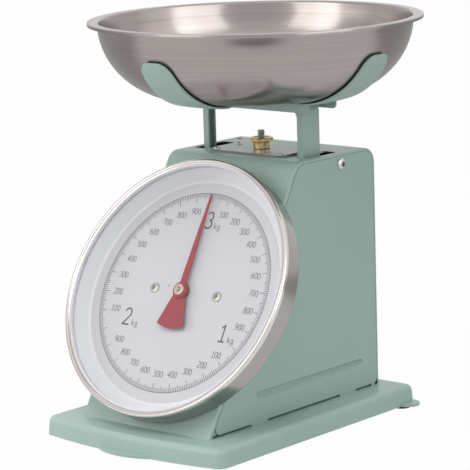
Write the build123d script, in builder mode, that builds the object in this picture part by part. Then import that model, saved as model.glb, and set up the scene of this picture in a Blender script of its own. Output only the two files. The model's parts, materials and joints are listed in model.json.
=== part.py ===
from build123d import *
from math import cos, pi, radians, sin, tan
import os

os.makedirs("parts", exist_ok=True)

# Driving dimensions in millimetres. Front is -Y, up is +Z, the floor is Z = 0.
sheet = 1.2
slide_gap = 0.05
seam_gap = 0.5

foot_h = 2.5
foot_r = 6.5
stem_r = 2.5

tray_half = 79.3
tray_front = -120.8
tray_bow = 8.3
tray_back = 90.0
tray_top = 15.4
tray_corner = 6.5
tray_draft = 6.0
tray_edge_r = 4.5
ear_t = 1.6
ear_out = 5.5
ear_half = 22.0
ear_ledge = 9.0
side_ear_r = 8.5
side_ear_back = 10.5
foot_in = 2.0
side_foot_in = 5.5

house_half = 56.5
house_front = -107.1
house_back = 76.0
house_top = 184.5
slant = 30.0
bend_r = 11.0
seam_w = 2.6
edge_w = 1.7
edge_gap = 0.2
panel_lift = 1.3
panel_corner = 4.0
bead_z = 34.7
bead_len = 116.0
bead_h = 5.0
bead_in = 0.8
bead_slope = 50.0
side_screw_z = 177.3

axis_y = 19.0
post_half = 46.5
right_post_depth = 18.5
left_post_depth = 8.0
post_t = 1.5
post_lip = 4.6
post_foot = 104.0
bridge_r = 8.0
slot_x = (40.0, 51.0)
slot_ahead = 10.0
slot_behind = 22.0

plate_half = 34.0
plate_depth = 34.0
plate_t = 1.5
plate_r = 6.0

cradle_top = 223.0
cradle_t = 1.2
beam_half = 57.0
beam_depth = 31.0
skirt_h = 7.0
arm_half = 15.5
paddle_half = 12.0
paddle_top = 257.0
cradle_gap = 0.9
rivet_x = 28.0
rivet_r = 1.5
rivet_head_r = 2.35
rivet_gap = 0.02

bowl_r = 115.0
bowl_t = 0.8
bowl_h = 54.4
rim_w = 6.8
rim_lip = 2.2
bowl_flat = 50.0

dial_up = 94.84
drum_r = 90.8
drum_t = 0.6
drum_depth = 17.8
backing_r = 78.0
backing_t = 3.3
bezel_r = 91.7
bezel_in = 86.6
bezel_h = 3.5
lens_t = 1.5
lens_r = 88.6
dish_r = 80.0
dish_t = 0.5
dial_screw_x = 27.7
dial_screw_shift = 2.0
pointer_tip = 69.0
pointer_root = 3.0
pointer_end = 0.8
pointer_tail = 27.0
tail_half = 11.8
tail_root = 4.2
collar_r = 5.6
cap_r = 4.0
spindle_r = 1.2
spindle_out = 10.6
bush_r = 4.0
bush_flange = 0.8

module = 0.5
pinion_teeth = 10
rack_w = 6.0
rack_back = 6.0
gear_depth = 21.7
bracket_back = 34.7
bracket_t = 1.5
bracket_gap = 0.8
lug_gap = 0.6
pin_r = 1.5
pin_up = 36.2

bar_top = 120.0
bar_depth = 14.0
bar_t = 1.5
bar_h = 10.0
rod_x = 30.0
rod_r = 2.5
spring_r = 8.0
wire_r = 0.9
spring_pitch = 3.2
spring_turns = 12
spring_z = 121.6

stud_r = 2.5
stud_top = 199.0
stud_behind = 3.0
nut_sleeve_r = 5.75
nut_flange_r = 8.2
nut_sleeve_h = 5.2
nut_flange_h = 2.6
stud_hold = 164.0
lift_play = 0.1

# Derived values
tilt = radians(slant)
normal = (0, -cos(tilt), sin(tilt))
rise = (0, sin(tilt), cos(tilt))
plate_top = house_top + plate_t
pitch_r = module * pinion_teeth / 2
dial_y = house_front + dial_up * sin(tilt)
dial_z = tray_top + dial_up * cos(tilt)
dial_plane = Plane(origin=(0, dial_y, dial_z), x_dir=(1, 0, 0), z_dir=normal)
dial_axis = Axis((0, dial_y, dial_z), normal)
dial_section = Plane(origin=(0, dial_y, dial_z), x_dir=(1, 0, 0), z_dir=(0, -sin(tilt), -cos(tilt)))
tabs = (
    (house_front + 43.1, house_front + 60.3),
    (house_front + 138.6, house_front + 156.3),
    (house_back - 8.7, house_back - panel_corner - 1),
)
bead_y = house_front + 107
side_screw_y = axis_y + 19.2
spring_y = axis_y + stud_behind
slot_y = (axis_y - slot_ahead, axis_y + slot_behind)
plate_screws = {
    "top_screw_front_left": (-plate_half + 6, axis_y - plate_depth / 2 + 5.5),
    "top_screw_front_right": (plate_half - 6, axis_y - plate_depth / 2 + 5.5),
    "top_screw_rear_left": (-plate_half + 6, axis_y + plate_depth / 2 - 5.5),
    "top_screw_rear_right": (plate_half - 6, axis_y + plate_depth / 2 - 5.5),
}
dial_screws = {
    "dial_screw_left": (dial_screw_shift - dial_screw_x, 0),
    "dial_screw_right": (dial_screw_shift + dial_screw_x, 0),
}
inner_top = house_top - sheet
bowl_seat = cradle_top
rack_travel = 2 * pi * pitch_r
load_travel = rack_travel * cos(tilt)


def house_points(front_inset, inset, floor):
    """Corners of the housing side view, moved inwards at the front and at the other edges."""
    low = house_front + (floor - tray_top) * tan(tilt) + front_inset / cos(tilt)
    high = house_front + (house_top - inset - tray_top) * tan(tilt) + front_inset / cos(tilt)
    top = house_top - inset
    back = house_back - inset
    return [(low, floor), (high, top), (back, top), (back, floor)]


def slant_point(up, out):
    """Y and Z of a point measured along the slanted front and out of it from the dial centre."""
    return (dial_y + up * sin(tilt) - out * cos(tilt), dial_z + up * cos(tilt) + out * sin(tilt))


# Base tray: a drawn steel pan with a bowed front and ledges for three feet
with BuildPart() as tray_core:
    with BuildSketch(Plane.XY.offset(foot_h)) as core_outline:
        with BuildLine():
            Line((tray_half, tray_front), (tray_half, tray_back))
            Line((tray_half, tray_back), (-tray_half, tray_back))
            Line((-tray_half, tray_back), (-tray_half, tray_front))
            ThreePointArc((-tray_half, tray_front), (0, tray_front - tray_bow), (tray_half, tray_front))
        make_face()
        fillet(core_outline.vertices(), tray_corner)
        offset(amount=-sheet, mode=Mode.REPLACE)
    extrude(amount=tray_top - foot_h - sheet, taper=tray_draft)
    fillet(tray_core.faces().sort_by(Axis.Z)[-1].edges(), tray_edge_r - sheet)

ear_round = (ear_half**2 + ear_out**2) / (2 * ear_out)
ear_mid = tray_front - tray_bow - ear_out + ear_round
side_ear_x = tray_half - 0.5
side_ear_y = tray_back - side_ear_back
feet_at = {
    "front_foot": (0, tray_front + foot_in),
    "rear_left_foot": (side_foot_in - tray_half, side_ear_y),
    "rear_right_foot": (tray_half - side_foot_in, side_ear_y),
}
with BuildPart() as base_tray:
    with BuildSketch(Plane.XY.offset(foot_h)) as tray_outline:
        with BuildLine():
            Line((tray_half, tray_front), (tray_half, tray_back))
            Line((tray_half, tray_back), (-tray_half, tray_back))
            Line((-tray_half, tray_back), (-tray_half, tray_front))
            ThreePointArc((-tray_half, tray_front), (0, tray_front - tray_bow), (tray_half, tray_front))
        make_face()
        fillet(tray_outline.vertices(), tray_corner)
    extrude(amount=tray_top - foot_h, taper=tray_draft)
    fillet(base_tray.faces().sort_by(Axis.Z)[-1].edges(), tray_edge_r)
    add(tray_core.part, mode=Mode.SUBTRACT)
    with BuildSketch(Plane.XY.offset(foot_h)) as front_ear:
        with Locations((0, ear_mid)):
            Circle(ear_round)
        with Locations((0, tray_front + ear_ledge - ear_round)):
            Rectangle(2 * ear_round, 2 * ear_round, mode=Mode.INTERSECT)
    extrude(amount=ear_t)
    with BuildSketch(Plane.XY.offset(foot_h)):
        with Locations((side_ear_x, side_ear_y), (-side_ear_x, side_ear_y)):
            Circle(side_ear_r)
    extrude(amount=ear_t)
    with BuildSketch(Plane.XY.offset(foot_h)):
        with Locations(*feet_at.values()):
            Circle(stem_r + slide_gap)
    extrude(amount=ear_t, mode=Mode.SUBTRACT)
    with BuildSketch(Plane.XY.offset(tray_top)):
        for tab in tabs:
            with Locations(
                (house_half - sheet / 2, (tab[0] + tab[1]) / 2), (sheet / 2 - house_half, (tab[0] + tab[1]) / 2)
            ):
                Rectangle(sheet + 0.4, tab[1] - tab[0] + 0.6)
    extrude(amount=-3 * sheet, mode=Mode.SUBTRACT)
base_tray.part.label = "base_tray"
export_step(base_tray.part, "parts/base_tray.step")

# Rubber feet with stems pushed up through the ledges
for foot_name, foot_spot in feet_at.items():
    with BuildPart() as foot:
        with BuildSketch():
            with Locations(foot_spot):
                Circle(foot_r)
        extrude(amount=foot_h)
        chamfer(foot.edges().group_by(Axis.Z)[0], 0.6)
        with BuildSketch(Plane.XY.offset(foot_h)):
            with Locations(foot_spot):
                Circle(stem_r)
        extrude(amount=ear_t + 0.8)
    foot.part.label = foot_name
    export_step(foot.part, f"parts/{foot_name}.step")

# Housing wrap: one bent sheet that makes the slanted front, the top and the back
with BuildPart() as housing_wrap:
    with BuildSketch(Plane.YZ.offset(-house_half)) as wrap_outline:
        with BuildLine():
            Polyline(*house_points(0, 0, tray_top), close=True)
        make_face()
        fillet(wrap_outline.vertices().sort_by(Axis.Y)[-2:], bend_r)
    extrude(amount=2 * house_half)
    with BuildSketch(Plane.YZ.offset(-house_half + sheet)) as wrap_inner:
        with BuildLine():
            Polyline(*house_points(sheet, sheet, tray_top - 1), close=True)
        make_face()
        fillet(wrap_inner.vertices().sort_by(Axis.Y)[-2:], bend_r - sheet)
    extrude(amount=2 * (house_half - sheet), mode=Mode.SUBTRACT)
    with BuildSketch(Plane.YZ.offset(-house_half - 1)) as wrap_window:
        with BuildLine():
            Polyline(*house_points(seam_w, edge_w, tray_top - 1), close=True)
        make_face()
        fillet(wrap_window.vertices().sort_by(Axis.Y)[-2:], bend_r - edge_w)
    extrude(amount=2 * house_half + 2, mode=Mode.SUBTRACT)
    side_faces = housing_wrap.faces().filter_by(Plane.YZ).group_by(Axis.X)
    outer_edges = [
        e
        for f in (side_faces[0][0], side_faces[-1][0])
        for e in f.outer_wire().edges()
        if e.center().Z > tray_top + 1
        and (
            e.center().Z > house_top - 0.01
            or e.center().Y > house_back - 0.01
            or abs(e.center().Y - house_front - (e.center().Z - tray_top) * tan(tilt)) < 0.05
        )
    ]
    fillet(outer_edges, sheet * 0.75)
    with BuildSketch(Plane.XY.offset(house_top)) as top_holes:
        with Locations(
            ((slot_x[0] + slot_x[1]) / 2, (slot_y[0] + slot_y[1]) / 2),
            (-(slot_x[0] + slot_x[1]) / 2, (slot_y[0] + slot_y[1]) / 2),
        ):
            RectangleRounded(slot_x[1] - slot_x[0], slot_y[1] - slot_y[0], 2.5)
        with Locations((0, axis_y)):
            RectangleRounded(50, 24, 4)
        with Locations((7 - house_half, house_back - 19)):
            Circle(2.2)
    extrude(amount=-2 * sheet, mode=Mode.SUBTRACT)
    with BuildSketch(dial_plane) as front_holes:
        Circle(bush_r + slide_gap)
        with Locations(*dial_screws.values()):
            Circle(1.55)
    extrude(amount=-2 * sheet, mode=Mode.SUBTRACT)
    with BuildSketch(Plane.XY.offset(house_top)):
        with Locations(*plate_screws.values()):
            Circle(1.55)
    extrude(amount=-2 * sheet, mode=Mode.SUBTRACT)
housing_wrap.part.label = "housing_wrap"
export_step(housing_wrap.part, "parts/housing_wrap.step")

# Side panels, set flush into the wrap, with tabs down into the tray
for side, side_name in ((1, "right"), (-1, "left")):
    with BuildPart() as panel:
        with BuildSketch(Plane.YZ.offset(side * house_half)) as panel_outer:
            with BuildLine():
                Polyline(*house_points(seam_w + seam_gap, edge_w + edge_gap, tray_top + panel_lift), close=True)
            make_face()
            fillet(panel_outer.vertices().sort_by(Axis.Y)[-2:], bend_r - edge_w - edge_gap)
            fillet(panel_outer.vertices().sort_by(Axis.Y)[:2], panel_corner)
            for tab in tabs:
                with Locations(((tab[0] + tab[1]) / 2, tray_top - 0.5)):
                    Rectangle(tab[1] - tab[0], 2 * panel_lift + 2 * sheet)
        extrude(amount=-side * sheet)
        with BuildSketch(Plane.YZ.offset(side * (house_half - sheet))) as panel_inner:
            with BuildLine():
                Polyline(*house_points(sheet + seam_gap, sheet + seam_gap, tray_top + panel_lift), close=True)
            make_face()
            fillet(panel_inner.vertices().sort_by(Axis.Y)[-2:], bend_r - sheet - seam_gap)
        extrude(amount=-side * sheet)
        with BuildSketch(Plane.YZ.offset(side * house_half)):
            with Locations((bead_y, bead_z)):
                SlotOverall(bead_len, bead_h)
        extrude(amount=-side * bead_in, taper=bead_slope, mode=Mode.SUBTRACT)
        with BuildSketch(Plane.YZ.offset(side * house_half)):
            with Locations((side_screw_y, side_screw_z)):
                Circle(1.95)
        extrude(amount=-side * 3 * sheet, mode=Mode.SUBTRACT)
    panel.part.label = f"{side_name}_side_panel"
    export_step(panel.part, f"parts/{side_name}_side_panel.step")

    with BuildPart() as side_screw:
        with BuildSketch(Plane.YZ.offset(side * house_half)):
            with Locations((side_screw_y, side_screw_z)):
                Circle(4.1)
        extrude(amount=side * 2.3)
        fillet(side_screw.faces().sort_by(Axis.X)[-1 if side > 0 else 0].edges(), 1.5)
        with BuildSketch(Plane.YZ.offset(side * house_half)):
            with Locations((side_screw_y, side_screw_z)):
                Circle(1.9)
        extrude(amount=-side * 6)
    side_screw.part.label = f"{side_name}_side_screw"
    export_step(side_screw.part, f"parts/{side_name}_side_screw.step")

# Top plate that carries the zero adjuster
with BuildPart() as top_plate:
    with BuildSketch(Plane.XY.offset(house_top)):
        with Locations((0, axis_y)):
            RectangleRounded(2 * plate_half, plate_depth, plate_r)
        with Locations((0, spring_y)):
            Circle(stud_r + 0.2, mode=Mode.SUBTRACT)
        with Locations(*plate_screws.values()):
            Circle(1.55, mode=Mode.SUBTRACT)
    extrude(amount=plate_t)
    fillet(top_plate.faces().sort_by(Axis.Z)[-1].outer_wire().edges(), 0.5)
top_plate.part.label = "top_plate"
export_step(top_plate.part, "parts/top_plate.step")

for screw_name, screw_spot in plate_screws.items():
    with BuildPart() as top_screw:
        with BuildSketch(Plane.XY.offset(plate_top)):
            with Locations(screw_spot):
                Circle(2.7)
        extrude(amount=1.3)
        fillet(top_screw.faces().sort_by(Axis.Z)[-1].edges(), 0.8)
        with BuildSketch(Plane.XY.offset(plate_top)):
            with Locations(screw_spot):
                Circle(1.5)
        extrude(amount=-6)
    top_screw.part.label = screw_name
    export_step(top_screw.part, f"parts/{screw_name}.step")

# Dial drum: a shallow steel pan standing on the slanted front
with BuildPart() as dial_drum:
    with BuildSketch(dial_plane):
        Circle(drum_r)
    extrude(amount=drum_depth - bezel_h)
    with BuildSketch(dial_plane.offset(drum_t)):
        Circle(drum_r - drum_t)
    extrude(amount=drum_depth, mode=Mode.SUBTRACT)
    with BuildSketch(dial_plane):
        Circle(bush_r + slide_gap)
        with Locations(*dial_screws.values()):
            Circle(1.55)
    extrude(amount=drum_t, mode=Mode.SUBTRACT)
dial_drum.part.label = "dial_drum"
export_step(dial_drum.part, "parts/dial_drum.step")

# Bezel: rolled ring over the mouth of the drum
with BuildPart() as dial_bezel:
    with BuildSketch(dial_plane.offset(drum_depth - bezel_h)):
        Circle(bezel_r)
        Circle(bezel_in, mode=Mode.SUBTRACT)
    extrude(amount=bezel_h)
    fillet(dial_bezel.faces().sort_by(dial_axis)[-1].edges(), 1.9)
dial_bezel.part.label = "dial_bezel"
export_step(dial_bezel.part, "parts/dial_bezel.step")

with BuildPart() as dial_lens:
    with BuildSketch(dial_plane.offset(drum_depth - bezel_h - lens_t)):
        Circle(lens_r)
    extrude(amount=lens_t)
dial_lens.part.label = "dial_lens"
export_step(dial_lens.part, "parts/dial_lens.step")

# Backing disc that lifts the dial off the drum floor
with BuildPart() as dial_backing:
    with BuildSketch(dial_plane.offset(drum_t)):
        Circle(backing_r)
        Circle(bush_r + slide_gap, mode=Mode.SUBTRACT)
        with Locations(*dial_screws.values()):
            Circle(1.55, mode=Mode.SUBTRACT)
    extrude(amount=backing_t)
dial_backing.part.label = "dial_backing"
export_step(dial_backing.part, "parts/dial_backing.step")

# Dial dish: flat printed face with a sloping wall up to the lens
dish_top = drum_depth - bezel_h - lens_t
dish_e = drum_t + backing_t
face_e = dish_e + dish_t
with BuildPart() as dial_dish:
    with BuildSketch(dial_section):
        with BuildLine():
            Polyline(
                (bush_r + slide_gap, dish_e),
                (dish_r + 0.4, dish_e),
                (bezel_in + 0.6, dish_top - dish_t),
                (lens_r + 0.6, dish_top - dish_t),
                (lens_r + 0.6, dish_top),
                (bezel_in, dish_top),
                (dish_r, face_e),
                (bush_r + slide_gap, face_e),
                close=True,
            )
        make_face()
    revolve(axis=dial_axis)
    with BuildSketch(dial_plane.offset(dish_e)):
        with Locations(*dial_screws.values()):
            Circle(1.55)
    extrude(amount=dish_t, mode=Mode.SUBTRACT)
dial_dish.part.label = "dial_dish"
export_step(dial_dish.part, "parts/dial_dish.step")

for screw_name, screw_spot in dial_screws.items():
    with BuildPart() as dial_screw:
        with BuildSketch(dial_plane.offset(face_e)):
            with Locations(screw_spot):
                Circle(3.2)
        extrude(amount=1.2)
        fillet(dial_screw.faces().sort_by(dial_axis)[-1].edges(), 0.8)
        with BuildSketch(dial_plane.offset(face_e)):
            with Locations(screw_spot):
                Circle(1.5)
        extrude(amount=-face_e - sheet - 2)
    dial_screw.part.label = screw_name
    export_step(dial_screw.part, f"parts/{screw_name}.step")

# Movement bracket behind the front sheet, with the two spindle bushes and the rack guide
with BuildPart() as movement_bracket:
    with BuildSketch(dial_plane.offset(-sheet)):
        with Locations((dial_screw_shift, 0)):
            RectangleRounded(2 * dial_screw_x + 12, 34, 5)
        Circle(bush_r + slide_gap, mode=Mode.SUBTRACT)
        with Locations(*dial_screws.values()):
            Circle(1.55, mode=Mode.SUBTRACT)
    extrude(amount=-1.5)
    with BuildSketch(dial_plane.offset(-sheet - 1.5)):
        with Locations((rack_back + bracket_gap + bracket_t / 2, 0)):
            Rectangle(bracket_t, 32)
    extrude(amount=-(bracket_back - sheet - bracket_t))
    with BuildSketch(dial_plane.offset(-bracket_back)):
        with Locations((-1.35, 0)):
            RectangleRounded(19.3, 20, 1.5)
        Circle(bush_r + slide_gap, mode=Mode.SUBTRACT)
    extrude(amount=-1.5)
movement_bracket.part.label = "movement_bracket"
export_step(movement_bracket.part, "parts/movement_bracket.step")

with BuildPart() as rack_guide:
    with BuildSketch(dial_plane.offset(-gear_depth - rack_w / 2 - 2.0)):
        with Locations((rack_back - 0.6, 9.5)):
            Rectangle(2.8, 11)
        with Locations((rack_back - 0.6, -9.5)):
            Rectangle(2.8, 11)
    extrude(amount=2.0 - 2 * slide_gap)
    with BuildSketch(dial_plane.offset(-gear_depth + rack_w / 2 + 2 * slide_gap)):
        with Locations((rack_back - 0.6, 9.5)):
            Rectangle(2.8, 11)
        with Locations((rack_back - 0.6, -9.5)):
            Rectangle(2.8, 11)
    extrude(amount=2.0 - 2 * slide_gap)
    with BuildSketch(dial_plane.offset(-gear_depth - rack_w / 2 - 2.0)):
        with Locations((rack_back + 0.45, 0)):
            Rectangle(0.7, 30)
    extrude(amount=rack_w + 4)
rack_guide.part.label = "rack_guide"
export_step(rack_guide.part, "parts/rack_guide.step")

with BuildPart() as front_bush:
    with BuildSketch(dial_plane.offset(-sheet - 1.5)):
        Circle(bush_r)
    extrude(amount=sheet + 1.5 + face_e)
    with BuildSketch(dial_plane.offset(face_e)):
        Circle(bush_r + 1.6)
    extrude(amount=bush_flange)
    with BuildSketch(dial_plane.offset(-sheet - 1.5)):
        Circle(spindle_r + slide_gap)
    extrude(amount=12, mode=Mode.SUBTRACT)
front_bush.part.label = "front_bush"
export_step(front_bush.part, "parts/front_bush.step")

with BuildPart() as rear_bush:
    with BuildSketch(dial_plane.offset(-bracket_back - 1.5)):
        Circle(bush_r)
    extrude(amount=1.5)
    with BuildSketch(dial_plane.offset(-bracket_back - 1.5)):
        Circle(bush_r + 1.6)
    extrude(amount=-1.0)
    with BuildSketch(dial_plane.offset(-bracket_back - 3)):
        Circle(spindle_r + slide_gap)
    extrude(amount=6, mode=Mode.SUBTRACT)
rear_bush.part.label = "rear_bush"
export_step(rear_bush.part, "parts/rear_bush.step")

# Spindle, pinion, pointer and its brass cap turn together
with BuildPart() as spindle:
    with BuildSketch(dial_plane.offset(-bracket_back - 4)):
        Circle(spindle_r)
    extrude(amount=bracket_back + 4 + spindle_out)
    with BuildSketch(dial_plane.offset(face_e + bush_flange + 0.2)):
        Circle(2.2)
    extrude(amount=1.4)
spindle.part.label = "spindle"
export_step(spindle.part, "parts/spindle.step")

tooth = pi * module
with BuildPart() as pinion:
    with BuildSketch(dial_plane.offset(-gear_depth - rack_w / 2 - 0.4)) as pinion_face:
        Circle(pitch_r - 1.2 * module)
        with PolarLocations(0, pinion_teeth):
            Polygon(
                (pitch_r - 1.4 * module, -0.27 * tooth),
                (pitch_r + 0.8 * module, -0.11 * tooth),
                (pitch_r + 0.8 * module, 0.11 * tooth),
                (pitch_r - 1.4 * module, 0.27 * tooth),
                align=None,
            )
        Circle(spindle_r + 0.02, mode=Mode.SUBTRACT)
    extrude(amount=rack_w + 0.8)
pinion.part.label = "pinion"
export_step(pinion.part, "parts/pinion.step")

pointer_e = face_e + bush_flange + 0.2 + 1.4
collar_h = 2.4
cap_e = pointer_e + collar_h
tail_low = (pointer_tail**2 - tail_half**2) ** 0.5
with BuildPart() as pointer:
    with BuildSketch(dial_plane.offset(pointer_e)) as pointer_face:
        with BuildLine():
            Polyline((-tail_half, -tail_low), (-tail_root, 0), (-pointer_root, 0), (-pointer_end, pointer_tip))
            ThreePointArc(
                (-pointer_end, pointer_tip), (0, pointer_tip + pointer_end), (pointer_end, pointer_tip)
            )
            Polyline((pointer_end, pointer_tip), (pointer_root, 0), (tail_root, 0), (tail_half, -tail_low))
            ThreePointArc((tail_half, -tail_low), (0, -pointer_tail), (-tail_half, -tail_low))
        make_face()
        Circle(collar_r + 0.6)
        Circle(spindle_r + 0.02, mode=Mode.SUBTRACT)
    extrude(amount=0.6)
    with BuildSketch(dial_plane.offset(pointer_e)):
        Circle(collar_r)
        Circle(spindle_r + 0.02, mode=Mode.SUBTRACT)
    extrude(amount=collar_h)
    fillet(pointer.faces().sort_by(dial_axis)[-1].outer_wire().edges(), 0.5)
pointer.part.label = "pointer"
export_step(pointer.part, "parts/pointer.step")

with BuildPart() as pointer_cap:
    with BuildSketch(dial_plane.offset(cap_e)):
        Circle(cap_r)
        Circle(spindle_r + 0.02, mode=Mode.SUBTRACT)
    extrude(amount=1.1)
    fillet(pointer_cap.faces().sort_by(dial_axis)[-1].outer_wire().edges(), 0.6)
pointer_cap.part.label = "pointer_cap"
export_step(pointer_cap.part, "parts/pointer_cap.step")

# Rack, guided along the slant, pulled by a pin in a level slot of the load carriage
rack_low = -10.0
rack_teeth = 16
with BuildPart() as rack:
    with BuildSketch(dial_plane.offset(-gear_depth - rack_w / 2)):
        with Locations(((pitch_r + 1.2 * module + rack_back) / 2, (rack_low + pin_up + 4) / 2)):
            Rectangle(rack_back - pitch_r - 1.2 * module, pin_up + 4 - rack_low)
        for k in range(-4, rack_teeth - 3):
            with Locations((pitch_r, (k + 0.5) * tooth)):
                Polygon(
                    (1.3 * module, -0.29 * tooth),
                    (-0.8 * module, -0.11 * tooth),
                    (-0.8 * module, 0.11 * tooth),
                    (1.3 * module, 0.29 * tooth),
                    align=None,
                )
    extrude(amount=rack_w)
    with BuildSketch(Plane.YZ):
        with Locations(slant_point(pin_up, -gear_depth)):
            Circle(pin_r + 0.02)
    extrude(amount=20, mode=Mode.SUBTRACT)
rack.part.label = "rack"
export_step(rack.part, "parts/rack.step")

with BuildPart() as rack_pin:
    with BuildSketch(Plane.YZ.offset(pitch_r + 1.2 * module)):
        with Locations(slant_point(pin_up, -gear_depth)):
            Circle(pin_r)
    extrude(amount=8.6)
    with BuildSketch(Plane.YZ.offset(pitch_r + 1.2 * module + 8.6)):
        with Locations(slant_point(pin_up, -gear_depth)):
            Circle(pin_r + 1.2)
    extrude(amount=1)
rack_pin.part.label = "rack_pin"
export_step(rack_pin.part, "parts/rack_pin.step")

# Load bridge: bent channel over the top plate, wider at the right, its posts run down through the slots
bridge_top = cradle_top - cradle_t
with BuildPart() as load_bridge:
    for side, post_depth in ((1, right_post_depth), (-1, left_post_depth)):
        front_y = axis_y - post_depth / 2
        with BuildSketch(Plane.XZ.offset(-front_y)) as bridge_outline:
            with Locations((side * post_half / 2, (bridge_top + post_foot) / 2)):
                Rectangle(post_half, bridge_top - post_foot)
            top_corners = bridge_outline.vertices().group_by(Axis.Y)[-1].sort_by(Axis.X)
            fillet(top_corners[-1 if side > 0 else 0], bridge_r)
        extrude(amount=-post_depth)
        with BuildSketch(Plane.XZ.offset(-front_y - post_t)) as bridge_inner:
            with Locations((side * (post_half - post_t) / 2, (bridge_top - post_t + post_foot - 1) / 2)):
                Rectangle(post_half - post_t, bridge_top - post_t - post_foot + 1)
            top_corners = bridge_inner.vertices().group_by(Axis.Y)[-1].sort_by(Axis.X)
            fillet(top_corners[-1 if side > 0 else 0], bridge_r - post_t)
        extrude(amount=-(post_depth - 2 * post_t), mode=Mode.SUBTRACT)
        with BuildSketch(Plane.XZ.offset(-front_y + 1)) as bridge_window:
            with Locations((side * (post_half - post_lip) / 2, (bridge_top - post_lip + post_foot - 1) / 2)):
                Rectangle(post_half - post_lip, bridge_top - post_lip - post_foot + 1)
            top_corners = bridge_window.vertices().group_by(Axis.Y)[-1].sort_by(Axis.X)
            fillet(top_corners[-1 if side > 0 else 0], bridge_r - post_t)
        extrude(amount=-post_depth - 2, mode=Mode.SUBTRACT)
    with BuildSketch(Plane.XY.offset(bridge_top)):
        with Locations((-rivet_x, axis_y), (rivet_x, axis_y)):
            Circle(rivet_r + rivet_gap)
    extrude(amount=-2 * post_t, mode=Mode.SUBTRACT)
load_bridge.part.label = "load_bridge"
export_step(load_bridge.part, "parts/load_bridge.step")

# Bowl: drawn stainless dish with a flat turned-out rim
bowl_rim = bowl_seat + bowl_h
mouth_r = bowl_r - rim_w
bowl_section = Plane(origin=(0, axis_y, 0), x_dir=(1, 0, 0), z_dir=(0, -1, 0))
bowl_axis = Axis((0, axis_y, 0), (0, 0, 1))
wall_top = bowl_rim - bowl_t
wall_x = mouth_r - bowl_flat
wall_z = bowl_h - bowl_t
with BuildPart() as bowl:
    with BuildSketch(bowl_section):
        with BuildLine():
            Line((0, bowl_seat), (bowl_flat, bowl_seat))
            EllipticalCenterArc((bowl_flat, wall_top), wall_x, wall_z, 270, arc_size=90)
            Polyline(
                (mouth_r, wall_top),
                (bowl_r - bowl_t, wall_top),
                (bowl_r - bowl_t, bowl_rim - rim_lip),
                (bowl_r, bowl_rim - rim_lip),
                (bowl_r, bowl_rim - bowl_t / 2),
                (bowl_r - bowl_t / 2, bowl_rim),
                (mouth_r - bowl_t, bowl_rim),
            )
            EllipticalCenterArc((bowl_flat, bowl_rim), wall_x - bowl_t, wall_z, 270, arc_size=90)
            Polyline((bowl_flat, bowl_seat + bowl_t), (0, bowl_seat + bowl_t), (0, bowl_seat))
        make_face()
    revolve(axis=bowl_axis)
bowl.part.label = "bowl"
export_step(bowl.part, "parts/bowl.step")

# Bowl cradle: pressed cross whose four arms curl up the outside of the bowl
flat_end = bowl_flat - 4
near = cradle_gap
far = cradle_gap + cradle_t
with BuildPart() as cradle_shell:
    with BuildSketch(bowl_section):
        with BuildLine():
            Polyline((0, cradle_top), (flat_end, cradle_top), (bowl_flat, cradle_top - near))
            inside = EllipticalCenterArc((bowl_flat, wall_top), wall_x + near, wall_z + near, 270, arc_size=80)
            outside = EllipticalCenterArc((bowl_flat, wall_top), wall_x + far, wall_z + far, 270, arc_size=80)
            Line(inside @ 1, outside @ 1)
            Polyline(
                (bowl_flat, cradle_top - far),
                (flat_end, cradle_top - cradle_t),
                (0, cradle_top - cradle_t),
                (0, cradle_top),
            )
        make_face()
    revolve(axis=bowl_axis)

arm_outline = [
    (-arm_half, cradle_top - 5),
    (arm_half, cradle_top - 5),
    (arm_half, cradle_top + 6),
    (paddle_half, paddle_top),
    (-paddle_half, paddle_top),
    (-arm_half, cradle_top + 6),
]
with BuildPart() as cradle_mask:
    with BuildSketch(Plane.XZ.offset(-axis_y - bowl_r)) as arm_front:
        Polygon(*arm_outline, align=None)
        fillet(arm_front.vertices().group_by(Axis.Y)[-1], 10.0)
    extrude(amount=2 * bowl_r)
    with BuildSketch(Plane.YZ.offset(-bowl_r)) as arm_side:
        with Locations((axis_y, 0)):
            Polygon(*arm_outline, align=None)
        fillet(arm_side.vertices().group_by(Axis.Y)[-1], 10.0)
    extrude(amount=2 * bowl_r)
    with BuildSketch(Plane.XY.offset(cradle_top - 5)):
        with Locations((0, axis_y)):
            Circle(30)
    extrude(amount=10)

with BuildPart() as bowl_cradle:
    add(cradle_shell.part)
    add(cradle_mask.part, mode=Mode.INTERSECT)
    with BuildSketch(Plane.XZ.offset(-axis_y + beam_depth / 2)) as skirt_front:
        with Locations((0, cradle_top - cradle_t / 2 - skirt_h / 2)):
            Rectangle(2 * beam_half, skirt_h - cradle_t)
        fillet(skirt_front.vertices().group_by(Axis.Y)[0], 3.0)
    extrude(amount=-cradle_t)
    with BuildSketch(Plane.XZ.offset(-axis_y - beam_depth / 2)) as skirt_rear:
        with Locations((0, cradle_top - cradle_t / 2 - skirt_h / 2)):
            Rectangle(2 * beam_half, skirt_h - cradle_t)
        fillet(skirt_rear.vertices().group_by(Axis.Y)[0], 3.0)
    extrude(amount=cradle_t)
    with BuildSketch(Plane.XY.offset(cradle_top)):
        with Locations((-rivet_x, axis_y), (rivet_x, axis_y)):
            Circle(rivet_r + rivet_gap)
    extrude(amount=-3 * cradle_t, mode=Mode.SUBTRACT)
bowl_cradle.part.label = "bowl_cradle"
export_step(bowl_cradle.part, "parts/bowl_cradle.step")

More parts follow.
